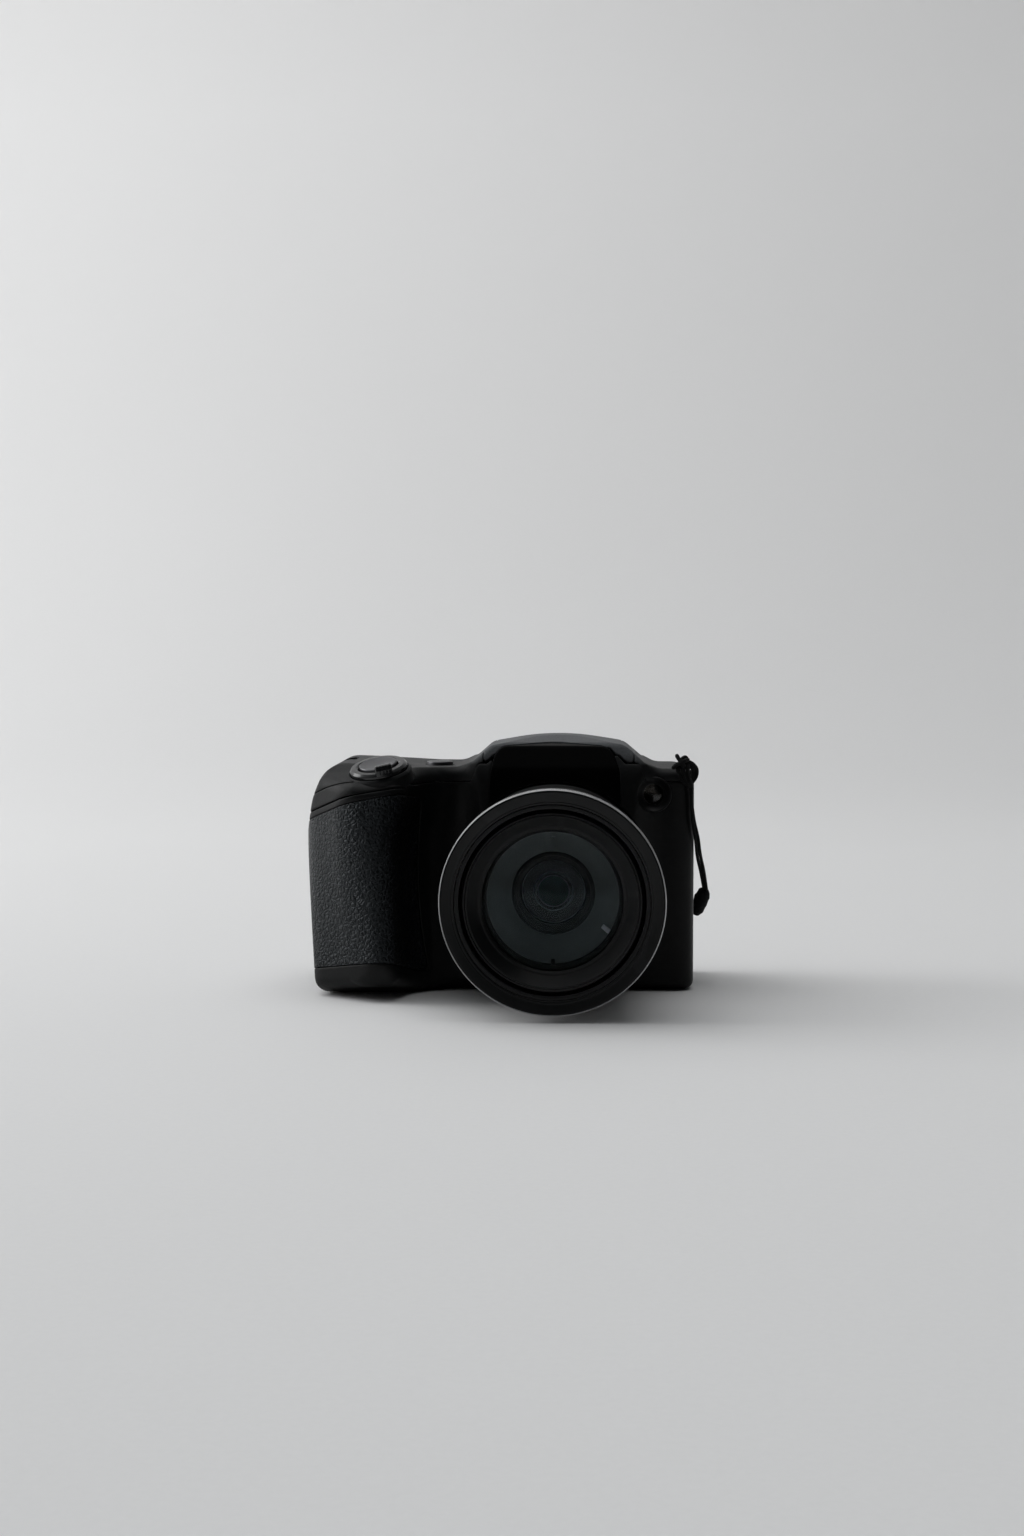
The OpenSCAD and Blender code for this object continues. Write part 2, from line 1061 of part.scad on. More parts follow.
module chassis() {
    color("silver") {
        block([-29, 10, 5], [34, 10.8, 55]);
        for (x = [-24, 29])
            for (z = [9, 50])
                disc(x, z, 1.5, 8.85, 10.2);
    }
}

module lcd_panel() {
    color("silver")
        block([window_x - 0.4, 12.4, 5.5], [window_x + window_w + 0.4, 15.8, 54.5]);
}

module tether_hitch() {
    color("black")
        union() {
            difference() {
                disc(bar_right[0], bar_right[1], 2.3, -5.4, -1);
                disc(bar_right[0], bar_right[1], bar_r + 0.03, -10, 10);
            }
            translate([35.2, -4, 59])
                cylinder(r = cord_r, h = 2.5);
            translate([35.2, -4, 61.5])
                sphere(r = cord_r);
            disc(35.2, 61.5, cord_r, -20.7, -4);
            translate([35.4, -20.7, 60])
                sphere(r = 2.4);
        }
}

module tether_cord() {
    color("black")
        tube_along(smooth_path(cord_points, 3), cord_r, 8);
}

module tether_bead() {
    color("black")
        translate([39, 1.2, 18.7])
            rotate([19.9, 19.6, 0])
                cylinder(r1 = 1.05, r2 = 2, h = 8.2);
}

front_cover();
rear_cover();
top_cover();
grip_skin();
nameplate();
lcd_window();
terminal_cover();
usb_port();
tripod_socket();
strap_bars();
focus_lamp();
case_screws();
shutter_button();
zoom_lever();
power_button();
movie_button();
playback_button();
menu_button();
set_button();
dpad_ring();
dpad_carrier();
key_board();
battery_door();
door_pin();
battery_box();
battery();
memory_card();
flash_lid();
flash_head();
flash_window();
flash_reflector();
flash_tube();
flash_pin();
flash_tray();
flash_capacitor();
lens_tube();
front_bezel();
trim_ring();
cam_ring();
zoom_pinion();
zoom_motor();
zoom_barrel_rear();
zoom_barrel_front();
front_lens_ring();
front_lens();
front_cell();
second_lens();
variator_cell();
variator_lens();
shutter_unit();
lens_base();
focus_lens();
image_sensor();
main_board();
chassis();
lcd_panel();
tether_hitch();
tether_cord();
tether_bead();
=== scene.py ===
"""Looks of the bridge camera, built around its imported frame. Shapes are written in millimetres."""

import json
import math

import bmesh
import bpy
import numpy as np
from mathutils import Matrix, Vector


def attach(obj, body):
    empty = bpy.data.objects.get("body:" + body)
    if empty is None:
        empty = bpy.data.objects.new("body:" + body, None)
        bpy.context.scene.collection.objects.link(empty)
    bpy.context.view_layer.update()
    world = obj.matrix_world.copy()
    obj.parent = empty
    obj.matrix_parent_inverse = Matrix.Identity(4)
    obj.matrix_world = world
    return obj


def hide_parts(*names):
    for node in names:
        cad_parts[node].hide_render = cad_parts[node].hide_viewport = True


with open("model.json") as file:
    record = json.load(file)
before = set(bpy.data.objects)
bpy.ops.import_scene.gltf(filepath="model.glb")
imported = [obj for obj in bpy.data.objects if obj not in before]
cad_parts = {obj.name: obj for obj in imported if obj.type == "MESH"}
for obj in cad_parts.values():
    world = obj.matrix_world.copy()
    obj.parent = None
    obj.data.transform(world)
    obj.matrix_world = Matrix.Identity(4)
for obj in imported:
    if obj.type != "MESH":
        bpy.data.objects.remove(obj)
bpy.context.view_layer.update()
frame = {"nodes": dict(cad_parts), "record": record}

MM = 0.001
BODY = "camera_body"
LENS_Z = 30
GRIP_X = -66.6
FLAT_X = 37.8
SHUTTER_AT = np.array([-46.4, -31, 60.7])
SHUTTER_TILT = (math.radians(16), math.radians(-8))
HINGE = (9.5, 65.5)


def add_object(name, data):
    obj = bpy.data.objects.new(name, data)
    bpy.context.scene.collection.objects.link(obj)
    return obj


def make_camera():
    """The camera that was fitted to the photograph."""
    data = bpy.data.cameras.new("photo_camera")
    data.lens = 50
    data.sensor_width = 36
    data.clip_start = 0.01
    data.clip_end = 20
    cam = add_object("photo_camera", data)
    cam.location = (0.0072, -0.593, 0.098)
    cam.rotation_euler = (math.radians(90 - 3.72), 0, math.radians(1.871))
    bpy.context.scene.camera = cam


make_camera()


# Materials


class Nodes:
    """A material being put together from nodes."""

    def __init__(self, name):
        self.material = bpy.data.materials.new(name)
        self.material.use_nodes = True
        self.tree = self.material.node_tree
        self.shader = self.tree.nodes["Principled BSDF"]
        self.place = self.add("ShaderNodeTexCoord").outputs["Object"]

    def add(self, kind, inputs=None, **settings):
        n = self.tree.nodes.new(kind)
        for key, value in settings.items():
            setattr(n, key, value)
        for key, value in (inputs or {}).items():
            self.put(n.inputs[key], value)
        return n

    def put(self, socket, value):
        if isinstance(value, bpy.types.NodeSocket):
            self.tree.links.new(value, socket)
        else:
            socket.default_value = value

    def noise(self, scale, detail=2, rough=0.5, distort=0, out="Fac"):
        inputs = {"Vector": self.place, "Scale": scale, "Detail": detail, "Roughness": rough, "Distortion": distort}
        return self.add("ShaderNodeTexNoise", inputs).outputs[out]

    def cells(self, scale, feature="DISTANCE_TO_EDGE", place=None):
        inputs = {"Vector": place or self.place, "Scale": scale}
        return self.add("ShaderNodeTexVoronoi", inputs, feature=feature).outputs["Distance"]

    def wave(self, scale, direction, distort):
        inputs = {"Vector": self.place, "Scale": scale, "Distortion": distort}
        return self.add("ShaderNodeTexWave", inputs, bands_direction=direction).outputs["Fac"]

    def axes(self):
        return self.add("ShaderNodeSeparateXYZ", {"Vector": self.place}).outputs

    def between(self, value, low, high, to_low=0, to_high=1):
        inputs = {"Value": value, "From Min": low, "From Max": high, "To Min": to_low, "To Max": to_high}
        return self.add("ShaderNodeMapRange", inputs).outputs["Result"]

    def math(self, operation, a, b=0):
        n = self.add("ShaderNodeMath", operation=operation)
        self.put(n.inputs[0], a)
        self.put(n.inputs[1], b)
        return n.outputs[0]

    def blend(self, fac, a, b):
        n = self.add("ShaderNodeMix", data_type="RGBA")
        self.put(n.inputs["Factor"], fac)
        self.put(n.inputs[6], a)
        self.put(n.inputs[7], b)
        return n.outputs[2]

    def bump(self, height, strength, distance):
        inputs = {"Height": height, "Strength": strength, "Distance": distance}
        return self.add("ShaderNodeBump", inputs).outputs["Normal"]

    def finish(self, **sockets):
        for key, value in sockets.items():
            self.put(self.shader.inputs[key.replace("_", " ")], value)
        return self.material


def rgba(grey, tint=(1, 1, 1)):
    return (grey * tint[0], grey * tint[1], grey * tint[2], 1)


COOL = (0.95, 1, 1.06)


def moulded(
    name, grey, rough, grain=2300, depth=0.00005, strength=0.5, tint=COOL, wear=0.5, shine=0.5, painted_top_light=0
):
    """Moulded plastic with a spark-eroded grain, faint mottling and paler edges; painted_top_light is a painted
    highlight, a paler colour on everything above a set height.
    """
    m = Nodes(name)
    fine = m.noise(grain, 3, 0.6)
    pits = m.cells(grain * 0.62, "F1")
    mottle = m.noise(95, 4, 0.6)
    edge = m.between(m.add("ShaderNodeNewGeometry").outputs["Pointiness"], 0.53, 0.62, 0, wear)
    body = m.blend(m.between(mottle, 0.3, 0.7), rgba(grey * 0.86, tint), rgba(grey * 1.14, tint))
    # Painted highlight: everything above a height of 61.5 to 64.5 mm is painted paler, for the light falling on the
    # tops.
    if painted_top_light:
        body = m.blend(m.between(m.axes()["Z"], 0.0615, 0.0645), body, rgba(painted_top_light, tint))
    speck = m.blend(m.between(fine, 0.35, 0.75, 0, 0.4), body, rgba(grey * 1.9 + 0.002, tint))
    colour = m.blend(edge, speck, rgba(grey * 2.2 + 0.008, tint))
    height = m.math("ADD", fine, m.math("MULTIPLY", pits, 0.8))
    return m.finish(
        Base_Color=colour,
        Roughness=m.between(m.math("ADD", fine, mottle), 0.6, 1.4, rough - 0.07, rough + 0.07),
        Normal=m.bump(height, strength, depth),
        Specular_IOR_Level=shine,
    )


def gloss(name, grey, rough, shine):
    """Polished plastic: a faint moulding ripple, dust and hairline wiping marks."""
    m = Nodes(name)
    dust = m.between(m.noise(3200, 2, 0.7), 0.68, 0.82)
    lines = m.noise(900, 2, 0.6, 3)
    return m.finish(
        Base_Color=m.blend(dust, rgba(grey, COOL), rgba(grey * 2 + 0.004, COOL)),
        Roughness=m.between(m.math("ADD", lines, dust), 0.4, 1.4, rough, rough + 0.1),
        Normal=m.bump(m.noise(60), 0.03, 0.0004),
        Specular_IOR_Level=shine,
    )


def leather(name):
    """Rubber skin moulded with a leather grain: pebbles between fine creases, the creases painted darker as painted
    shade.
    """
    m = Nodes(name)
    bent = m.add("ShaderNodeVectorMath", operation="MULTIPLY_ADD")
    m.put(bent.inputs[0], m.noise(420, out="Color"))
    m.put(bent.inputs[1], (0.0007, 0.0007, 0.0007))
    m.put(bent.inputs[2], m.place)
    place = bent.outputs[0]
    crease_and_shade = m.between(m.cells(820, place=place), 0, 0.26)
    small = m.between(m.cells(2100, place=place), 0, 0.25)
    pore = m.noise(5200, 2, 0.6)
    mottle = m.noise(130, 3, 0.6)
    height = m.math("ADD", crease_and_shade, m.math("MULTIPLY", small, 0.25))
    height = m.math("ADD", height, m.math("MULTIPLY", pore, 0.08))
    tops = m.blend(m.between(mottle, 0.3, 0.7), rgba(0.003, COOL), rgba(0.005, COOL))
    # Painted shade: the creases are painted darker than the pebble tops.
    colour = m.blend(crease_and_shade, rgba(0.002, COOL), tops)
    return m.finish(
        Base_Color=colour,
        Roughness=m.between(m.math("ADD", crease_and_shade, pore), 0.3, 1.6, 0.46, 0.27),
        Specular_IOR_Level=0.26,
        Specular_Tint=(0.82, 0.92, 1, 1),
        Normal=m.bump(height, 0.95, 0.00025),
    )


def metal(name, colour, rough, strength=0.12, turned=None):
    """Worked metal: fine tool marks, uneven polish and faint scratches."""
    m = Nodes(name)
    marks = m.wave(turned, "Y", 1.5) if turned else m.noise(1600, 2, 0.6, 0.4)
    mottle = m.noise(140, 4, 0.65)
    scratch = m.between(m.noise(2400, 1, 0.5, 6), 0.62, 0.72)
    tone = m.blend(m.between(mottle, 0.3, 0.75), rgba(0.88, colour), rgba(1, colour))
    light = (*[min(1, c * 1.2) for c in colour], 1)
    return m.finish(
        Base_Color=m.blend(m.math("MULTIPLY", scratch, 0.35), tone, light),
        Metallic=1,
        Roughness=m.between(m.math("ADD", marks, mottle), 0.5, 1.5, rough - 0.05, rough + 0.09),
        Normal=m.bump(marks, strength, 0.00003),
    )


def clear(name, tint, rough=0, ior=1.5, ripple=0, coat=(1, 1, 1)):
    """Clear moulding or coated glass, with faint dust."""
    m = Nodes(name)
    dust = m.between(m.noise(2600, 2, 0.7), 0.74, 0.9)
    wide = m.noise(45, 2, 0.5)
    body = m.blend(m.between(wide, 0.3, 0.7), rgba(0.97, tint), rgba(1, tint))
    return m.finish(
        Base_Color=m.blend(dust, body, rgba(0.6, tint)),
        Roughness=rough,
        Transmission_Weight=1,
        IOR=ior,
        Specular_Tint=(*coat, 1),
        Normal=m.bump(wide, ripple, 0.0002),
    )


def screen(name):
    """Acrylic over a dark display: a black border round a slightly paler panel."""
    m = Nodes(name)
    at = m.axes()
    wide = m.math("ABSOLUTE", m.math("SUBTRACT", at["X"], 0.003))
    high = m.math("ABSOLUTE", m.math("SUBTRACT", at["Z"], 0.0305))
    border = m.math("MAXIMUM", m.between(wide, 0.0282, 0.0284), m.between(high, 0.0212, 0.0214))
    dust = m.between(m.noise(3000, 2, 0.7), 0.68, 0.82)
    lines = m.noise(700, 2, 0.6, 3)
    panel_tone = m.blend(m.noise(18), rgba(0.011, COOL), rgba(0.015, (0.9, 1, 1.2)))
    tone = m.blend(border, panel_tone, rgba(0.003))
    return m.finish(
        Base_Color=m.blend(dust, tone, rgba(0.02)),
        Roughness=m.between(m.math("ADD", lines, dust), 0.4, 1.4, 0.03, 0.12),
        Normal=m.bump(m.noise(50), 0.02, 0.0004),
    )


def circuit(name):
    """Solder mask over copper tracks."""
    m = Nodes(name)
    tracks = m.between(m.cells(260), 0.02, 0.06)
    pads = m.between(m.cells(420, "F1"), 0.18, 0.24)
    green = m.blend(tracks, (0.02, 0.11, 0.05, 1), (0.012, 0.07, 0.032, 1))
    return m.finish(
        Base_Color=m.blend(pads, (0.45, 0.4, 0.26, 1), green),
        Roughness=m.between(pads, 0, 1, 0.3, 0.42),
        Normal=m.bump(tracks, 0.3, 0.00006),
    )


def braid(name):
    """Woven cord: crossing yarns with fuzz."""
    m = Nodes(name)
    yarn = m.noise(2600, 2, 0.6, 1)
    knit = m.cells(1900, "F1")
    colour = m.blend(m.between(yarn, 0.3, 0.75), rgba(0.002), rgba(0.006, COOL))
    return m.finish(
        Base_Color=colour,
        Roughness=m.between(yarn, 0.2, 0.8, 0.7, 0.9),
        Normal=m.bump(m.math("ADD", yarn, knit), 0.8, 0.00012),
        Sheen_Weight=0.02,
        Specular_IOR_Level=0.2,
    )


MATS = {
    "cover_plastic": moulded("cover_plastic", 0.0035, 0.46, shine=0.16),
    # Painted highlight: the top of the deck plastic is painted paler.
    "deck_plastic": moulded("deck_plastic", 0.006, 0.52, shine=0.16, painted_top_light=0.085),
    "grip_rubber": leather("grip_rubber"),
    "gloss_black": gloss("gloss_black", 0.0012, 0.14, shine=0.12),
    "window_acrylic": screen("window_acrylic"),
    "soft_rubber": moulded("soft_rubber", 0.011, 0.6, 3000, 0.00003, 0.35, wear=0.2),
    "steel": metal("steel", (0.62, 0.62, 0.63), 0.3),
    "trim_silver": metal("trim_silver", (0.48, 0.485, 0.49), 0.3, turned=900, strength=0.05),
    "lamp_clear": clear("lamp_clear", (0.3, 0.28, 0.25), 0.02, 1.49, 0.1),
    "button_dark": moulded("button_dark", 0.006, 0.2, 3200, 0.00002, 0.2),
    "button_satin": metal("button_satin", (0.11, 0.11, 0.115), 0.38, turned=1400, strength=0.1),
    "lens_black": moulded("lens_black", 0.005, 0.4, 3600, 0.00002, 0.25, wear=0.35, shine=0.22),
    "lens_grey": moulded("lens_grey", 0.14, 0.5, 2600, 0.00003, 0.3, (0.92, 1.04, 1.04), 0.1),
    "optical_glass": clear("optical_glass", (0.97, 0.985, 1), coat=(0.1, 0.13, 0.14)),
    "inner_plastic": moulded("inner_plastic", 0.01, 0.55, 1800, 0.00004, 0.4),
    "pale_plastic": moulded("pale_plastic", 0.6, 0.5, 1800, 0.00003, 0.3, COOL, 0.1),
    "circuit_green": circuit("circuit_green"),
    "battery_wrap": moulded("battery_wrap", 0.06, 0.4, 900, 0.00002, 0.3),
    "card_blue": moulded("card_blue", 0.06, 0.4, 1500, 0.00002, 0.3, (0.5, 0.7, 2.2)),
    "flash_clear": clear("flash_clear", (0.97, 0.98, 1), 0.06, 1.49, 0.1),
    "reflector": metal("reflector", (0.86, 0.87, 0.88), 0.1, strength=0.04),
    "brass_metal": metal("brass_metal", (0.62, 0.5, 0.3), 0.3, turned=700),
    "cord_black": braid("cord_black"),
}


# Mesh helpers


def compact(count, faces):
    """Which of the points the faces use, and the faces numbered by these."""
    used = np.unique(np.concatenate([np.asarray(f) for f in faces]))
    place = np.full(count, -1)
    place[used] = np.arange(len(used))
    return used, [[int(place[i]) for i in f] for f in faces]


def piece(name, mesh_parts, slot, body=BODY, replaces=None, sharp=40):
    """A mesh object from (points in millimetres, faces), riding on a body."""
    verts, faces = mesh_parts
    used, faces = compact(len(verts), faces)
    mesh = bpy.data.meshes.new(name)
    mesh.from_pydata((np.asarray(verts, float)[used] * MM).tolist(), [], faces)
    mesh.validate()
    bm = bmesh.new()
    bm.from_mesh(mesh)
    bmesh.ops.recalc_face_normals(bm, faces=bm.faces)
    bm.to_mesh(mesh)
    bm.free()
    mesh.polygons.foreach_set("use_smooth", [True] * len(mesh.polygons))
    mesh.set_sharp_from_angle(angle=math.radians(sharp))
    mesh.materials.append(MATS[slot])
    obj = add_object(name, mesh)
    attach(obj, body)
    if replaces:
        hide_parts(replaces)
    return obj


def unit(v):
    return v / np.maximum(np.linalg.norm(v, axis=-1, keepdims=True), 1e-12)


def join(*parts):
    verts, faces, base = [], [], 0
    for v, f in parts:
        verts.append(np.asarray(v, float))
        faces += [[i + base for i in g] for g in f]
        base += len(v)
    return np.concatenate(verts), faces


def rounded(corners, steps):
    """Points of a closed outline whose corners are (a, b) or (a, b, radius)."""
    out = []
    n = len(corners)
    for i in range(n):
        p = np.array(corners[i][:2], float)
        r = corners[i][2] if len(corners[i]) > 2 else 0
        u = unit(np.array(corners[i - 1][:2], float) - p)
        v = unit(np.array(corners[(i + 1) % n][:2], float) - p)
        if r == 0:
            out.append(p)
            continue
        half = math.acos(max(-1, min(1, float(u @ v)))) / 2
        m = p + unit(u + v) * r / math.sin(half)
        a = p + u * r / math.tan(half) - m
        b = p + v * r / math.tan(half) - m
        a0 = math.atan2(a[1], a[0])
        sweep_by = (math.atan2(b[1], b[0]) - a0 + 3 * math.pi) % (2 * math.pi) - math.pi
        for k in range(steps + 1):
            t = a0 + sweep_by * k / steps
            out.append(m + r * np.array([math.cos(t), math.sin(t)]))
    return np.array(out)


def lathe(corners, place, steps=160, round_steps=4):
    """A closed outline of (radius, height) turned about an axis and put in place."""
    outline = rounded(corners, round_steps)
    ang = around(steps)
    n = len(outline)
    r, h = outline[:, 0], outline[:, 1]
    pts = np.column_stack([np.outer(np.cos(ang), r).ravel(), np.outer(np.sin(ang), r).ravel(), np.tile(h, steps)])
    faces = []
    for i in range(steps):
        j = (i + 1) % steps
        for k in range(n):
            m = (k + 1) % n
            if r[k] < 1e-6 and r[m] < 1e-6:
                continue
            if r[k] < 1e-6:
                faces.append([k, i * n + m, j * n + m])
            elif r[m] < 1e-6:
                faces.append([i * n + k, m, j * n + k])
            else:
                faces.append([i * n + k, i * n + m, j * n + m, j * n + k])
    return place(pts), faces


def around(steps):
    return np.linspace(0, 2 * math.pi, steps, endpoint=False)


def level_ring(reach, ang, h, x=0, y=0):
    """A loop of points at one height."""
    return np.column_stack([x + reach * np.cos(ang), y + reach * np.sin(ang), np.full(len(ang), h)])


def banded(loops):
    """A solid through loops of as many points each, closed over the first and the last."""
    n, last = len(loops[0]), len(loops) - 1
    faces = [list(range(n - 1, -1, -1)), list(range(last * n, last * n + n))]
    for a in range(0, last * n, n):
        for i in range(n):
            j = (i + 1) % n
            faces.append([a + i, a + j, a + n + j, a + n + i])
    return np.concatenate(loops), faces


def slab(outline, low, high, bevel, place, steps=3):
    """An outline in (a, b) drawn out from low to high with rounded edges, and put in place."""
    area = sum(p[0] * q[1] - p[1] * q[0] for p, q in zip(outline, np.roll(outline, -1, 0)))
    if area < 0:
        outline = outline[::-1]
    along = np.roll(outline, -1, 0) - np.roll(outline, 1, 0)
    out = unit(np.stack([along[:, 1], -along[:, 0]], axis=1))
    levels = []
    for k in range(steps + 1):
        t = math.pi / 2 * k / steps
        levels.append((bevel * (1 - math.sin(t)), low + bevel * (1 - math.cos(t))))
    levels += [(i, low + high - h) for i, h in reversed(levels)]
    verts, faces = banded([np.column_stack([outline - out * i, np.full(len(outline), h)]) for i, h in levels])
    return place(verts), faces


def smooth_path(points, per):
    """Points along a smooth curve through the given ones."""
    p = np.array(points, float)
    p = np.vstack([2 * p[0] - p[1], p, 2 * p[-1] - p[-2]])
    out = []
    for a, b, c, d in zip(p, p[1:], p[2:], p[3:]):
        for t in np.arange(per) / per:
            bend, twist = 2 * a - 5 * b + 4 * c - d, 3 * b - a - 3 * c + d
            out.append(0.5 * (2 * b + (c - a) * t + bend * t**2 + twist * t**3))
    out.append(p[-2])
    return np.array(out)


def frames(path):
    """Two directions across a path at each of its points, with no twist."""
    t = unit(np.gradient(path, axis=0))
    u = np.cross(t[0], [0.3, 0.2, 0.93])
    us = []
    for d in t:
        u = unit(u - d * (u @ d))
        us.append(u)
    us = np.array(us)
    return us, np.cross(t, us)


def tube(path, radius, sides=12):
    """A round tube along a path, with domed ends."""
    u, v = frames(path)
    t = np.cross(u, v)
    rows = [(path[0] - t[0] * radius * 0.75, 0, 0.6)] + [(p, i, 1) for i, p in enumerate(path)]
    rows.append((path[-1] + t[-1] * radius * 0.75, len(path) - 1, 0.6))
    c, s = np.cos(around(sides)), np.sin(around(sides))
    return banded([p + radius * k * (np.outer(c, u[i]) + np.outer(s, v[i])) for p, i, k in rows])


def along_y(x, z):
    """An axis along Y through (x, z): height is Y."""
    return lambda p: np.stack([x + p[:, 0], p[:, 2], z + p[:, 1]], axis=1)


on_lens = along_y(0, LENS_Z)


def upright(x, y):
    return lambda p: p + np.array([x, y, 0])


def along_x(y, z):
    return lambda p: np.stack([p[:, 2], y + p[:, 0], z + p[:, 1]], axis=1)


def on_shutter(p):
    """Axis square to the sloping deck of the grip: height is above the deck."""
    a, b = SHUTTER_TILT
    y = p[:, 1] * math.cos(a) - p[:, 2] * math.sin(a)
    z = p[:, 1] * math.sin(a) + p[:, 2] * math.cos(a)
    x = p[:, 0] * math.cos(b) + z * math.sin(b)
    z = -p[:, 0] * math.sin(b) + z * math.cos(b)
    return np.stack([x, y, z], axis=1) + SHUTTER_AT


# The tether

CORD_POINTS = [
    (36.75, -17.9, 55.2),
    (36.95, -17.5, 51),
    (37.5, -16.9, 46),
    (38.5, -15, 41.3),
    (39.3, -11, 36.3),
    (40.5, -6.5, 31.5),
    (41.6, -1.9, 26.2),
]
BEAD_ENDS = (np.array([39.3, 1.2, 18.7]), np.array([41.6, -1.6, 26]))
BAR_LEFT = (-58.4, 58.6)
BAR_RIGHT = (36, 57.6)
STRAND = 0.45
LACE = 0.58


LACES = [
    # from the bar over the shoulder to the knot
    [(36.6, -4.2, 59.2), (36.4, -6.6, 60.6), (35.9, -10, 61.1), (35.8, -15, 61.2)]
    + [(35.6, -18.2, 61.2), (34.9, -19.9, 60.6)],
    [(35.4, -4.8, 59.3), (35.1, -6.8, 60.9), (34.6, -10, 61.5), (34.4, -15, 61.5)]
    + [(34, -18.2, 61.5), (33.4, -19.8, 60.9)],
    # strands that hang over the front of the shoulder
    [(33.2, -18.9, 61.8), (33, -19.7, 60.6), (33.6, -19.6, 58.9), (34.6, -19.3, 57.2)]
    + [(35.7, -19, 56.2), (36.6, -18.2, 55.3)],
    [(34.6, -19, 62), (34.3, -19.9, 60.7), (34.8, -19.9, 58.9), (35.6, -19.5, 57.3)]
    + [(36.3, -18.9, 56.3), (36.8, -18.1, 55.3)],
    [(35.9, -18.6, 61.8), (35.6, -19.9, 60.8), (35.9, -20, 59), (36.3, -19.6, 57.6)]
    + [(36.6, -19, 56.4), (36.9, -18, 55.2)],
    # the bight that stands off to the flat side
    [(34.7, -18.8, 62.2), (36.2, -18.8, 62.3), (37.4, -18.3, 61.5), (38.2, -17.6, 60.2)]
    + [(38.1, -17.3, 58.5), (37.2, -17.9, 57.1), (36.5, -18.6, 56.6)],
    [(35.2, -18.1, 61.2), (36.4, -18.1, 61.2), (37.2, -17.6, 60.4), (37.4, -17.3, 59.2), (37, -17.8, 58)],
    # the wrap across the top, and two loose ends
    [(31.9, -19.4, 60.9), (32.6, -20.2, 61.6), (33.8, -20.6, 62.3), (35.1, -20.1, 62.8)]
    + [(35.7, -19, 63), (35.2, -18, 62.9)],
    [(34.6, -20.6, 61.3), (33.9, -20.6, 62.4), (33.2, -20.2, 63.4), (32.8, -19.9, 64.1)],
    [(33.6, -19.2, 62.2), (34.2, -18.8, 63.1), (35, -18.6, 63.6), (35.5, -18.5, 63.3)],
]
WRAP_PITCH = 1.15


def make_tether():
    path = smooth_path(CORD_POINTS, 6)
    u, v = frames(path)
    strands = []
    for turn in (0, math.pi):
        a = turn + 0.4 + np.linspace(0, 2.6, len(path))[:, None]
        strands.append(tube(path + STRAND * (np.cos(a) * u + np.sin(a) * v), STRAND))
    cord = piece("tether_strands", join(*strands), "cord_black", replaces="tether_cord")
    foot, head = BEAD_ENDS
    long = float(np.linalg.norm(head - foot))
    outline = [(0, -0.3), (0.9, -0.3, 0.3), (1.7, 0.9, 0.8), (2.05, 3.2, 2), (2.2, 5.4, 2), (1.7, 7.4, 1)]
    verts, faces = lathe(outline + [(0.95, long, 0.2), (0, long)], upright(0, 0), 40, 6)
    turn = np.arctan2(verts[:, 1], verts[:, 0])
    wrap = 1 - 0.09 * (0.5 + 0.5 * np.cos(2 * math.pi * (verts[:, 2] / WRAP_PITCH + turn / (2 * math.pi))))
    verts[:, :2] *= wrap[:, None]
    axis = (head - foot) / long
    across = unit(np.cross(axis, [0, 1, 0]))
    verts = foot + verts @ np.array([across, np.cross(axis, across), axis])
    bead = piece("tether_end", (verts, faces), "cord_black", replaces="tether_bead")
    knots = []
    t = np.linspace(0, 2, 33)
    c, s = np.cos(2 * math.pi * t), np.sin(2 * math.pi * t)
    for start in (-5.2, -2.7):
        coil = np.column_stack([BAR_RIGHT[0] + 1.5 * s, start + 1.1 * t, BAR_RIGHT[1] + 1.5 * c])
        knots.append(tube(coil, LACE))
    knots += [tube(smooth_path(lace, 6), LACE) for lace in LACES]
    piece("tether_knots", join(*knots), "cord_black", replaces="tether_hitch")


make_tether()


# The body's form, as signed distances in millimetres, negative inside

GRIP_Y = -40.5


def grip_plan(side, left, right, inner):
    """Plan of the grip from its side corner (y, radius), front corners (x, radius) and inner wall."""
    front = [(GRIP_X, *side), (left[0], GRIP_Y, left[1]), (right[0], GRIP_Y, right[1])]
    return front + [(inner, -19.5, 0.5), (inner, 6.6, 0.5), (GRIP_X, 6.6, 0.5)]


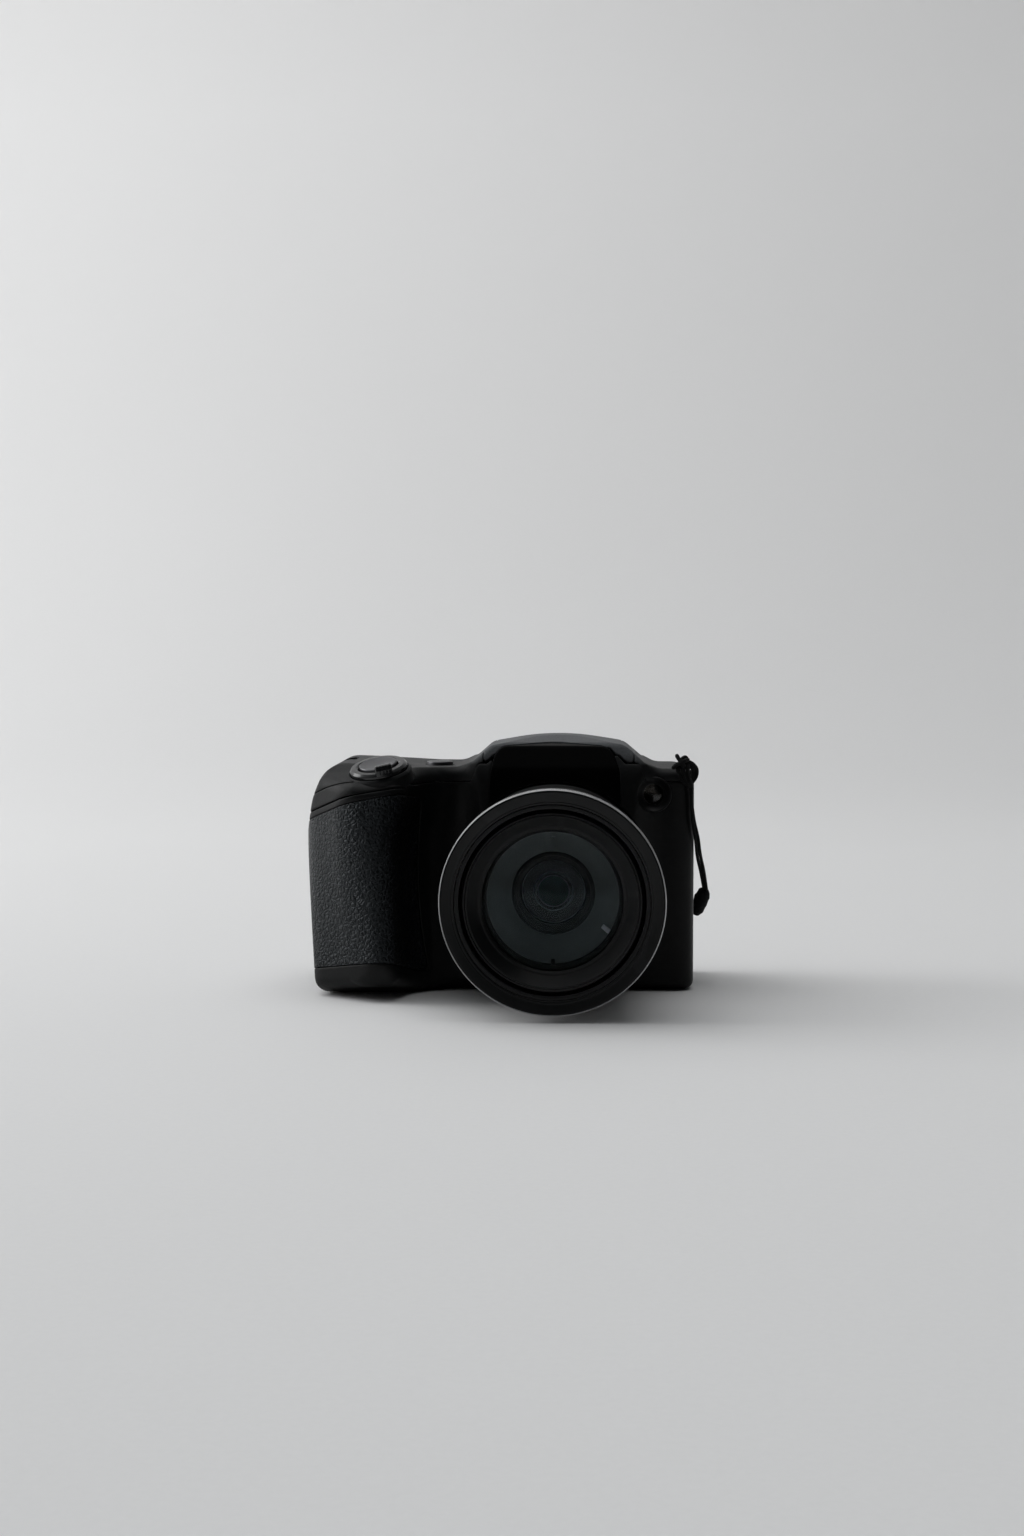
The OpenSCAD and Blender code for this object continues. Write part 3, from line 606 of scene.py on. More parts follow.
CORNERS = {
    "main_front": [
        (GRIP_X + 2.5, 0, 5), (FLAT_X, 0, 2), (FLAT_X, 60.4, 5), (-33, 60.9, 30), (GRIP_X + 9, 62.3, 7),
        (GRIP_X + 5.2, 60.2, 7), (GRIP_X + 1.9, 53.5, 22), (GRIP_X - 0.1, 43, 14),
    ],
    "main_plan": [(GRIP_X, -19, 10), (FLAT_X, -18, 5), (FLAT_X, 18, 3.5), (GRIP_X, 18, 9)],
    "main_side": [(-19.2, 0, 5.5), (18, 0, 2), (18, 62, 4), (-19.2, 62, 4)],
    "grip_plan": grip_plan((-24, 14), (-55, 10), (-43.5, 7), -37),
    "grip_plan_top": grip_plan((-24, 14), (-54.5, 10), (-40.5, 8), -33.5),
    "grip_plan_low": grip_plan((-26, 12), (-47.5, 8), (-42, 5), -36.4),
    "grip_side": [
        (GRIP_Y, 9, 5), (-37.5, 4.2, 4), (-21, 0, 10), (12, 0, 0.5), (12, 62, 0.5),
        (-25, 62.4, 8), (GRIP_Y, 57, 5),
    ],
    "hump_front": [
        (-22.8, 20, 1), (24.8, 20, 1), (24.8, 61.6, 2), (19, 66.8, 6), (0.5, 69.95, 60),
        (-17.6, 66.6, 5), (-22.8, 61.8, 2),
    ],
    "hump_side": [
        (-22, 20, 1), (17.2, 20, 1), (17.2, 61, 3), (14.5, 63.5, 4), (4, 70.4, 14),
        (-16.6, 67.3, 2.5), (-20.8, 59, 14), (-22, 46, 10),
    ],
    "hump_plan": [(-22.8, -22, 5), (24.8, -22, 5), (24.8, 17.2, 3), (-22.8, 17.2, 3)],
    "plate": [
        (-17.6, 40, 0.5), (17.9, 40, 0.5), (17.4, 60, 6), (15.2, 66.3, 4.5), (0, 67.5, 60),
        (-15.8, 66.3, 4.5), (-17.2, 60, 6),
    ],
}


class Outline:
    """Distance to a closed outline and its slope, kept in tables."""

    STEP = 0.25
    MARGIN = 12
    OFFSET = 0.0137  # keeps table lines off the outlines' own straight edges

    def __init__(self, corners):
        pts = rounded(corners, 10)
        self.low = pts.min(0) - self.MARGIN - self.OFFSET
        self.size = np.ceil((pts.max(0) + self.MARGIN - self.low) / self.STEP).astype(int) + 1
        ga = self.low[0] + self.STEP * np.arange(self.size[0])
        gb = self.low[1] + self.STEP * np.arange(self.size[1])
        a, b = (g.ravel() for g in np.meshgrid(ga, gb, indexing="ij"))
        best = np.full(a.shape, np.inf)
        inside = np.zeros(a.shape, bool)
        for (x0, y0), (x1, y1) in zip(pts, np.roll(pts, -1, 0)):
            dx, dy = x1 - x0, y1 - y0
            t = np.clip(((a - x0) * dx + (b - y0) * dy) / max(dx * dx + dy * dy, 1e-12), 0, 1)
            best = np.minimum(best, (a - x0 - t * dx) ** 2 + (b - y0 - t * dy) ** 2)
            if abs(dy) > 1e-12:
                inside ^= ((b < y0) != (b < y1)) & (a < x0 + (b - y0) * dx / dy)
        values = (np.where(inside, -1, 1) * np.sqrt(best)).reshape(self.size)
        self.tables = [values, *np.gradient(values, self.STEP)]

    def __call__(self, a, b):
        a, b = np.broadcast_arrays(a, b)
        fa = (a - self.low[0]) / self.STEP
        fb = (b - self.low[1]) / self.STEP
        ca = np.clip(fa, 0, self.size[0] - 1.001)
        cb = np.clip(fb, 0, self.size[1] - 1.001)
        i, j = ca.astype(int), cb.astype(int)
        u, v = ca - i, cb - j
        near = ((i, j, (1 - u) * (1 - v)), (i + 1, j, u * (1 - v)), (i, j + 1, (1 - u) * v), (i + 1, j + 1, u * v))
        value, da, db = (sum(t[p, q] * w for p, q, w in near) for t in self.tables)
        return value + self.STEP * np.hypot(fa - ca, fb - cb), da, db


OUTLINES = {name: Outline(corners) for name, corners in CORNERS.items()}


def from_front(name, x, z):
    value, dx, dz = OUTLINES[name](x, z)
    return value, dx, 0, dz


def from_above(name, x, y):
    value, dx, dy = OUTLINES[name](x, y)
    return value, dx, dy, 0


def from_side(name, y, z):
    value, dy, dz = OUTLINES[name](y, z)
    return value, 0, dy, dz


def step(x, low, high):
    t = np.clip((x - low) / (high - low), 0, 1)
    return t * t * (3 - 2 * t)


def agree(a, b):
    """Cosine of the angle between the slopes of two fields."""
    return a[1] * b[1] + a[2] * b[2] + a[3] * b[3]


def both(r, *parts):
    """What lies in every part, with the edges between parts rounded to r."""
    best = None
    for i, a in enumerate(parts):
        for b in parts[:i]:
            c = np.clip(agree(a, b), -0.99, 0.99)
            ga, gb = a[0] + r, b[0] + r
            ta, tb = ga - c * gb, gb - c * ga
            edge = (ta > 0) & (tb > 0)
            corner = np.sqrt(np.maximum(ga * ta + gb * tb, 1e-9) / (1 - c * c))
            scale = 1 / ((1 - c * c) * corner)
            wa = np.where(edge, ta * scale, ga > gb)
            wb = np.where(edge, tb * scale, ga <= gb)
            value = np.where(edge, corner, np.maximum(ga, gb)) - r
            new = (value, *(wa * p + wb * q for p, q in zip(a[1:], b[1:])))
            if best is None:
                best = new
            else:
                over = new[0] > best[0]
                best = tuple(np.where(over, p, q) for p, q in zip(new, best))
    return best


def either(k, a, b):
    """What lies in a or b, with a fillet of about k where they meet at an angle."""
    k = k * np.sqrt(np.clip(1 - agree(a, b), 1e-4, 1))
    h = np.clip(0.5 + 0.5 * (b[0] - a[0]) / k, 0, 1)
    value = b[0] * (1 - h) + a[0] * h - k * h * (1 - h)
    return (value, *(q * (1 - h) + p * h for p, q in zip(a[1:], b[1:])))


DECK_UP = (
    math.cos(SHUTTER_TILT[0]) * math.sin(SHUTTER_TILT[1]),
    -math.sin(SHUTTER_TILT[0]),
    math.cos(SHUTTER_TILT[0]) * math.cos(SHUTTER_TILT[1]),
)


def shutter_frame(x, y, z):
    """Distance from the shutter's axis, and height over its deck."""
    dx, dy, dz = x - SHUTTER_AT[0], y - SHUTTER_AT[1], z - SHUTTER_AT[2]
    h = dx * DECK_UP[0] + dy * DECK_UP[1] + dz * DECK_UP[2]
    return np.sqrt(np.maximum(dx * dx + dy * dy + dz * dz - h * h, 0)), h


def body_form(x, y, z):
    """Distance to the body's outer surface."""
    front = from_front("main_front", x, z)
    main = both(2.5, front, from_above("main_plan", x, y), from_side("main_side", y, z))
    deck = (shutter_frame(x, y, z)[1], *DECK_UP)
    low, top = np.clip((50 - z) / 44, 0, 1), step(z, 40, 56)
    plans = [from_above(name, x, y) for name in ("grip_plan", "grip_plan_low", "grip_plan_top")]
    plan = tuple(p * (1 - low - top) + q * low + r * top for p, q, r in zip(*plans))
    grip = both(3.5, front, plan, from_side("grip_side", y, z), deck)
    hump = both(1.6, from_front("hump_front", x, z), from_side("hump_side", y, z), from_above("hump_plan", x, y))
    lower = either(12, main, grip)
    lower = (np.maximum(lower[0], front[0]), *lower[1:])
    return either(5, lower, hump)[0]


# Regions of the surface that belong to each cover

FAR = 99


def only(where, value):
    return np.where(where, value, FAR)


def smooth_both(r, *parts):
    grown = np.broadcast_arrays(*[p + r for p in parts])
    total = sum(np.maximum(g, 0) ** 2 for g in grown)
    return np.minimum(np.max(grown, axis=0), 0) + np.sqrt(total) - r


def minus(a, *rest):
    for r in rest:
        a = np.maximum(a, -r)
    return a


def frame_box(a, b, low_a, high_a, low_b, high_b, r):
    """Distance to a rounded rectangle."""
    qa = np.abs(a - (low_a + high_a) / 2) - (high_a - low_a) / 2
    qb = np.abs(b - (low_b + high_b) / 2) - (high_b - low_b) / 2
    return smooth_both(r, qa, qb)


def lid_edge(x, y):
    """Height of the lid's lower edge: it slants up to the plate's corners."""
    return 62 + (np.clip(81.4 - 1.05 * np.abs(x - 0.4), 62, 66) - 62) * step(-y, 11, 14)


def seam_height(x, y):
    """Height of the seam under the top cover."""
    shoulder = 48.4 + 0.056 * (x + 67) - 0.33 * (y + 10)
    side = shoulder + (57 - shoulder) * step(x, -43, -34)
    front = side + (lid_edge(x, y) - side) * step(x, -23, -20.2) * step(-x, -25, -22.2) * step(-y, 6, 9)
    return front + (57 - front) * step(y, 5.6, 8.4)


def above_seam(x, y, z):
    return (z - seam_height(x, y)) * 0.95


def lens_hole(x, y, z):
    return only(y < -8, np.hypot(x, z - LENS_Z) - 26.9)


LAMP_AT = (26.7, 53.5)


def lamp_hole(x, y, z):
    return only(y < -8, np.hypot(x - LAMP_AT[0], z - LAMP_AT[1]) - 4.4)


def shutter_hole(x, y, z):
    r, h = shutter_frame(x, y, z)
    return np.maximum(r - 8, -1.2 - h)


POWER_AT = (-31.7, -8)


def power_hole(x, y, z):
    return only(z > 50, np.hypot(x - POWER_AT[0], y - POWER_AT[1]) - 3.8)


def screen_hole(x, y, z):
    return only(y > 8, frame_box(x, z, -28.1, 34.1, 5.9, 54.1, 1.2))


PAD_AT = (-49, 26)
KEYS = {"movie": (-57, 50, 3.2), "playback": (-39, 46, 2.7), "menu": (-38, 9.5, 2.7)}


def key_holes(x, y, z):
    d = np.hypot(x - PAD_AT[0], z - PAD_AT[1]) - 10.9
    for kx, kz, kr in KEYS.values():
        d = np.minimum(d, np.hypot(x - kx, z - kz) - kr - 0.2)
    return only(y > 8, d)


SCREWS = [(28, -10.5), (-26, -10.5), (30, 13.5), (-22, 13.5)]


def base_holes(x, y, z):
    d = np.hypot(x, y) - 4.5
    for sx, sy in SCREWS:
        d = np.minimum(d, np.hypot(x - sx, y - sy) - 1.6)
    return only(z < 4, d)


def door_zone(x, y, z, hinge_side=-40.5):
    return only(z < 2.6, frame_box(x, y, -60.25, hinge_side, -21.1, 6, 0.5))


def door_hole(x, y, z):
    return door_zone(x, y, z, -40.1)


def flap_zone(x, y, z, hinge_side=-6.4):
    return only(x > 30, frame_box(y, z, hinge_side, 5.65, 4.35, 16.65, 0.6))


def flap_hole(x, y, z):
    return flap_zone(x, y, z, -6.8)


POCKETS = [(-55.2, -80, -7, 3, 55), (FLAT_X - 5, 60, -8, 2, 53.5)]


def pockets(x, y, z):
    found = FAR
    for wall, out, y0, y1, floor in POCKETS:
        side = (wall - x) if out > wall else (x - wall)
        d = smooth_both(0.8, np.abs(y - (y0 + y1) / 2) - (y1 - y0) / 2, side, floor - z)
        found = np.minimum(found, d)
    return found


def skin_zone(x, y, z):
    right = x - (-36.8 + 0.0035 * (z - 34) ** 2)
    top = (z - (43.7 + 0.19 * (x + 67) - 0.217 * (y + 10))) * 0.96
    bottom = (4.1 + 0.256 * np.maximum(-15 - y, 0) - z) * 0.97
    return smooth_both(2, right, top, bottom, y - 2)


def skin_line(x, y, z):
    """A fine groove that follows the top edge of the skin."""
    return only((z > 36) & (x < -39), np.abs(skin_zone(x, y, z) - 1.8) - 0.1)


def plate_zone(x, y, z):
    return only(y < -7, OUTLINES["plate"](x, z)[0])


def lid_zone(x, y, z):
    off = np.abs(x - 0.4)
    notch = 0.8 * step(off, 16, 17.6) * (1 - step(off, 18.2, 20))
    wide = np.abs(x - 1) - 20.4 + 0.12 * np.maximum(y + 16, 0)
    sides = smooth_both(1, wide, y - HINGE[0], (lid_edge(x, y) + notch - z) * 0.8)
    return np.maximum(sides, -plate_zone(x, y, z))


def lid_well(x, y, z):
    bar = np.maximum(np.hypot(y - HINGE[0], z - HINGE[1]) - 1.45, np.abs(x - 1) - 17.5)
    return np.minimum(lid_zone(x, y, z), bar)


def front_region(x, y, z):
    a = smooth_both(0.3, above_seam(x, y, z), y - 7)
    zones = (skin_zone, skin_line, plate_zone, lens_hole, lamp_hole, base_holes)
    zones += (door_hole, flap_hole, lid_well, pockets, shutter_hole)
    return minus(a, *[f(x, y, z) for f in zones])


def rear_region(x, y, z):
    a = smooth_both(0.3, above_seam(x, y, z), 7 - y)
    return minus(a, *[f(x, y, z) for f in (screen_hole, key_holes, base_holes)])


def top_region(x, y, z):
    zones = (lid_well, plate_zone, shutter_hole, power_hole, pockets)
    return minus(-above_seam(x, y, z), *[f(x, y, z) for f in zones])


def plate_region(x, y, z):
    return minus(plate_zone(x, y, z), lens_hole(x, y, z))


def gradient(f, p, h=0.15):
    """Slope of a function of position at points."""
    return np.stack([(f(*(p + e).T) - f(*(p - e).T)) / (2 * h) for e in h * np.eye(3)], axis=1)


CELL = 0.5


def surface(cell):
    """The body's surface as points, quads and normals: surface nets moved onto the exact form."""
    low, high = np.array([-70, -43, -2]), np.array([39.5, 20.5, 71.5])
    n = np.ceil((high - low) / cell).astype(int) + 1
    axes = [low[i] + cell * np.arange(n[i]) for i in range(3)]
    inside = body_form(axes[0][:, None, None], axes[1][None, :, None], axes[2][None, None, :]) < 0
    count = np.zeros(np.array(inside.shape) - 1, int)
    for i in (0, 1):
        for j in (0, 1):
            for k in (0, 1):
                count += inside[i : n[0] - 1 + i, j : n[1] - 1 + j, k : n[2] - 1 + k]
    mixed = (count > 0) & (count < 8)
    index = np.full(mixed.shape, -1, int)
    index[mixed] = np.arange(mixed.sum())
    points = low + cell * (np.argwhere(mixed) + 0.5)
    quads = []
    for axis in range(3):
        a = np.moveaxis(inside, axis, 0)
        flip = a[:-1] != a[1:]
        idx = np.moveaxis(index, axis, 0)
        i, j, k = (np.argwhere(flip[:, 1:-1, 1:-1]) + [0, 1, 1]).T
        q = np.stack([idx[i, j - 1, k - 1], idx[i, j, k - 1], idx[i, j, k], idx[i, j - 1, k]], axis=1)
        back = ~a[:-1][i, j, k]
        if axis == 1:
            back = ~back
        q[back] = q[back][:, ::-1]
        quads.append(q)
    for _ in range(4):
        value = body_form(*points.T)
        grad = gradient(body_form, points)
        points = points - grad * (value / np.maximum((grad**2).sum(1), 0.3))[:, None]
    return points, np.concatenate(quads), unit(gradient(body_form, points))


SKIN = surface(CELL)


def clip(points, quads, normals, value):
    """The part of a surface where value is negative, cut along value = 0."""
    verts, norms, made = list(points), list(normals), {}

    def cut(i, j):
        key = (min(i, j), max(i, j))
        if key not in made:
            t = value[i] / (value[i] - value[j])
            verts.append(points[i] + (points[j] - points[i]) * t)
            norms.append(unit(normals[i] + (normals[j] - normals[i]) * t))
            made[key] = len(verts) - 1
        return made[key]

    v = value[quads]
    keep = quads[(v <= 0).all(1) & (v < 0).any(1)].tolist()
    for q in quads[(v < 0).any(1) & (v > 0).any(1)]:
        out = []
        for a, b in zip(q, np.roll(q, -1)):
            if value[a] <= 0:
                out.append(int(a))
            if value[a] * value[b] < 0:
                out.append(cut(a, b))
        if len(out) >= 3:
            keep.append(out)
    used, keep = compact(len(verts), keep)
    return np.array(verts)[used], np.array(norms)[used], keep


def thicken(p, n, faces, lip, depth):
    """Adds a rounded rim along the edge of a sheet, and a back face."""
    edges = set()
    for f in faces:
        for a, b in zip(f, f[1:] + f[:1]):
            if (b, a) in edges:
                edges.remove((b, a))
            else:
                edges.add((a, b))
    edges = sorted(edges)
    out = np.zeros_like(p)
    for a, b in edges:
        side = unit(np.cross(p[b] - p[a], n[a] + n[b]))
        out[a] += side
        out[b] += side
    rim = np.unique(np.array(edges).ravel())
    o = unit(out[rim])
    rings = []
    for angle in (35, 65, 90):
        s, c = math.sin(math.radians(angle)), math.cos(math.radians(angle))
        rings.append(p[rim] + o * lip * s - n[rim] * lip * (1 - c))
    rings.append(p[rim] + o * lip - n[rim] * depth)
    spot = np.full(len(p), -1)
    spot[rim] = np.arange(len(rim))
    rows = [np.arange(len(p))] + [len(p) + k * len(rim) + spot for k in range(len(rings))]
    base = len(p) + len(rings) * len(rim)
    back = np.where(spot >= 0, rows[-1], np.arange(len(p)) + base)
    sides = [[int(r[b]), int(r[a]), int(s[a]), int(s[b])] for a, b in edges for r, s in zip(rows, rows[1:])]
    backs = [[int(back[i]) for i in reversed(f)] for f in faces]
    return np.concatenate([p, *rings, p - n * depth]), faces + sides + backs


def panel(name, region, slot, body=BODY, replaces=None, inset=0.3, lip=0.17, depth=1.3):
    """One cover: the part of the body's surface in region, with a rounded rim and a back face."""
    points, quads, normals = SKIN
    value = region(*points.T) + inset
    near = np.flatnonzero(np.abs(value) < 0.16)
    if len(near):
        points = points.copy()
        p, n = points[near], normals[near]
        g = gradient(region, p, 0.05)
        g = g - n * (g * n).sum(1)[:, None]
        size = (g**2).sum(1)
        fine = size > 0.2
        points[near[fine]] = p[fine] - g[fine] * (value[near[fine]] / size[fine])[:, None]
        value[near[fine]] = 0
    sheet = clip(points, quads, normals, value)
    return piece(name, thicken(*sheet, lip, depth), slot, body, replaces, sharp=60)


def make_covers():
    panel("front_cover_shell", front_region, "cover_plastic", replaces="front_cover", lip=0.22)
    panel("rear_cover_shell", rear_region, "cover_plastic", replaces="rear_cover")
    panel("top_cover_shell", top_region, "deck_plastic", replaces="top_cover")
    panel("grip_skin_sheet", skin_zone, "grip_rubber", replaces="grip_skin", depth=1, lip=0.22)
    panel("nameplate_panel", plate_region, "gloss_black", replaces="nameplate", depth=0.9, lip=0.12, inset=0.04)
    panel("flash_lid_shell", lid_zone, "deck_plastic", "lid", "flash_lid")
    panel("battery_door_panel", door_zone, "cover_plastic", "door", "battery_door")
    panel("terminal_cover_flap", flap_zone, "soft_rubber", "terminal_flap", "terminal_cover", depth=1)


make_covers()


def grid(origin, u, v, nu, nv):
    """A flat sheet of quads from a corner along two directions."""
    i, j = np.meshgrid(np.arange(nu + 1), np.arange(nv + 1), indexing="ij")
    pts = np.array(origin) + CELL * (i[..., None] * np.array(u) + j[..., None] * np.array(v))
    at = np.arange((nu + 1) * (nv + 1)).reshape(nu + 1, nv + 1)
    quads = np.stack([at[:-1, :-1], at[1:, :-1], at[1:, 1:], at[:-1, 1:]], axis=-1).reshape(-1, 4)
    return pts.reshape(-1, 3), quads


def make_pockets():
    """The walls of the two strap pockets, and the pins across them."""
    deep, high = 24, 18
    for name, (wall, out, y0, y1, floor) in zip(("grip_side", "flat_side"), POCKETS):
        across = np.array([1 if out > wall else -1, 0, 0])
        back, up = np.array([0, 1, 0]), np.array([0, 0, 1])
        wide = int((y1 - y0) * 2)
        sheets = [
            (up, grid((wall, y0, floor), across, back, deep, wide)),
            (across, grid((wall, y0, floor), back, up, wide, high)),
            (back, grid((wall, y0, floor), across, up, deep, high)),
            (-back, grid((wall, y1, floor), across, up, deep, high)),
        ]
        parts = []
        for facing, (points, quads) in sheets:
            a, b, _, d = points[quads[0]]
            if np.cross(b - a, d - a) @ facing < 0:
                quads = quads[:, ::-1]
            normals = np.tile(facing.astype(float), (len(points), 1))
            parts.append(thicken(*clip(points, quads, normals, body_form(*points.T) + 0.5), 0, 0.8))
        piece(f"strap_pocket_{name}", join(*parts), "deck_plastic", sharp=30)
    bars = []
    for (x, z), y0, y1 in ((BAR_LEFT, -7.9, 3.9), (BAR_RIGHT, -8.9, 2.9)):
        profile = [(0, y0), (0.8, y0, 0.1), (0.9, y0 + 0.3, 0.2), (0.9, y1 - 0.3, 0.2), (0.8, y1, 0.1), (0, y1)]
        bars.append(lathe(profile, along_y(x, z), 32))
    piece("strap_pins", join(*bars), "steel", replaces="strap_bars")


make_pockets()


# The lens


def arc_points(r_from, r_to, vertex, sphere, count=14):
    """Points of a spherical face: its height at the axis is vertex, and it bends towards +Y."""
    return [(r, vertex + sphere - math.sqrt(sphere**2 - r * r)) for r in np.linspace(r_from, r_to, count)]


def turned(name, corners, slot, body=BODY, replaces=None, steps=192, place=on_lens):
    return piece(name, lathe(corners, place, steps), slot, body, replaces)


CONE_BACK, CONE_FRONT = (10.75, -44), (16.4, -52.9)


def make_lens():
    """The rings and glasses, from outlines of (radius, Y, rounding)."""
    shell = [(25.5, -62.5), (26.4, -62.5)]
    shell += [(26.4, -58.9, 0.1), (26.1, -58.6, 0.1), (26.1, -58.1, 0.1), (26.4, -57.8, 0.1)]
    shell += [(26.4, -23.6, 0.1), (26.15, -23.3, 0.1), (26.15, -22.8, 0.1), (26.4, -22.5, 0.1)]
    shell += [(26.4, -15.6), (28.2, -15.6, 0.3), (28.2, -8.2), (27.4, -8.2), (27.4, -14.9), (25.5, -14.9)]
    turned("lens_tube_shell", shell, "lens_black", replaces="lens_tube")
    bezel = [(24.65, -65.55, 0.25), (25.15, -65.7, 0.08), (25.3, -65.62, 0.08), (25.5, -65.78, 0.08)]
    bezel += [(27.7, -66.33, 0.2), (28.08, -66.2, 0.1), (28.08, -62.6), (24.65, -62.6)]
    turned("front_bezel_ring", bezel, "lens_black", replaces="front_bezel")
    trim = [(28.12, -66.48, 0.06), (28.26, -66.48, 0.1), (28.4, -66.1, 0.15), (28.4, -62.1, 0.25)]
    trim += [(26.5, -61.35, 0.1), (26.5, -62.5), (28.12, -62.5)]
    turned("trim_ring_band", trim, "trim_silver", replaces="trim_ring")
    rear = [(23.5, -65.4, 0.15), (24.52, -65.5, 0.12), (24.52, -62.4, 0.1), (24.3, -62.2, 0.1)]
    rear += [(24.3, -24), (23.5, -24)]
    turned("zoom_barrel_rear_sleeve", rear, "lens_black", "rear_barrel", "zoom_barrel_rear")

    def in_front(name, corners, slot, replaces=None, steps=192):
        turned(name, corners, slot, "front_barrel", replaces, steps)

    sleeve = [(21.9, -64.6, 0.1), (22.15, -64.9, 0.15), (22.45, -64.85, 0.15), (22.7, -63.6, 0.2)]
    sleeve += [(23.1, -62.9, 0.15), (23.1, -28), (21.9, -28)]
    in_front("zoom_barrel_front_sleeve", sleeve, "lens_black", "zoom_barrel_front")
    funnel = [(21.4, -64.7, 0.15), (21.85, -64.7, 0.1), (21.85, -60.2), (17.9, -60.2), (17.9, -60.7, 0.15)]
    funnel += [(18.5, -61.2, 0.2), (18.9, -61.2, 0.2)]
    in_front("front_funnel", funnel, "lens_black", "front_lens_ring")
    glass = arc_points(0, 20.4, -62.3, 70.8) + [(20.5, -59.1), (20.5, -53.6)]
    in_front("front_glass", glass + arc_points(0, 20.4, -57.3, 55)[::-1], "optical_glass", "front_lens")
    rim = [(16.45, -52.95), (16.8, -53.1, 0.1), (21.8, -53.1), (21.8, -38), (17.6, -38), (17.6, -50)]
    in_front("front_cell_rim", rim, "lens_black", "front_cell")
    cone = [(*CONE_FRONT, 0.1), (17.55, -49.9), (17.55, -38.05), (12.35, -38.05), (12.35, -41.8), (*CONE_BACK, 0.1)]
    in_front("front_cell_cone", cone, "lens_grey")
    retainer = [(10.7, -44.1, 0.1), (12.25, -41.9), (12.25, -41.2), (8.4, -42.2, 0.1), (8.4, -42.6, 0.05)]
    retainer += [(8.7, -42.9, 0.05), (9.6, -43, 0.05), (9.7, -43.3, 0.05), (10.2, -43.4, 0.05)]
    in_front("second_lens_retainer", retainer, "lens_black")
    rings = []
    for r, y in ((7.8, -38.45), (4.75, -38.4), (3.8, -38.35)):
        rings.append(lathe([(r, y, 0.05), (r + 0.2, y, 0.05), (r + 0.2, y + 0.4), (r, y + 0.4)], on_lens, 128))
    piece("second_lens_stops", join(*rings), "lens_grey", "front_barrel")
    baffle = [(3.9, -37.95), (8.6, -37.95, 0.1), (8.6, -37.4), (4.2, -37.4)]
    in_front("second_lens_baffle", baffle, "gloss_black", steps=96)
    tabs = (
        ("top", 90, 14.8, 0.9, 0.6, "lens_grey"),
        ("side", -31, 15.5, 1.6, 0.6, "pale_plastic"),
        ("low", -90, 16.2, 0.9, 0.5, "lens_black"),
    )
    wall, deep = CONE_FRONT[0] - CONE_BACK[0], CONE_FRONT[1] - CONE_BACK[1]
    for name, angle, at, long, wide, slot in tabs:
        a = math.radians(angle)
        out = np.array([math.cos(a), 0, math.sin(a)])
        side = np.array([-math.sin(a), 0, math.cos(a)])
        lean = unit(out * wall + np.array([0, deep, 0]))
        axes = np.array([lean, side, np.cross(lean, side)])
        start = out * at + np.array([0, CONE_BACK[1] - 0.1 + (at - CONE_BACK[0]) * deep / wall, LENS_Z])
        box = rounded([(-long, -wide, 0.15), (long, -wide, 0.15), (long, wide, 0.15), (-long, wide, 0.15)], 3)
        tab = slab(box, -0.35, 0.35, 0.1, lambda p: start + p @ axes)
        piece(f"front_cell_tab_{name}", tab, slot, "front_barrel")
    inner = arc_points(0, 12.1, -43, 32) + [(12.2, -40.5), (12.2, -38.6), (0, -38.6)]
    in_front("second_glass", inner, "optical_glass", "second_lens", 96)


make_lens()


# Controls


SEAT_RISE = 0.55


def raised(p):
    """The shutter's frame at the height of its seat."""
    return on_shutter(p + np.array([0, 0, SEAT_RISE]))


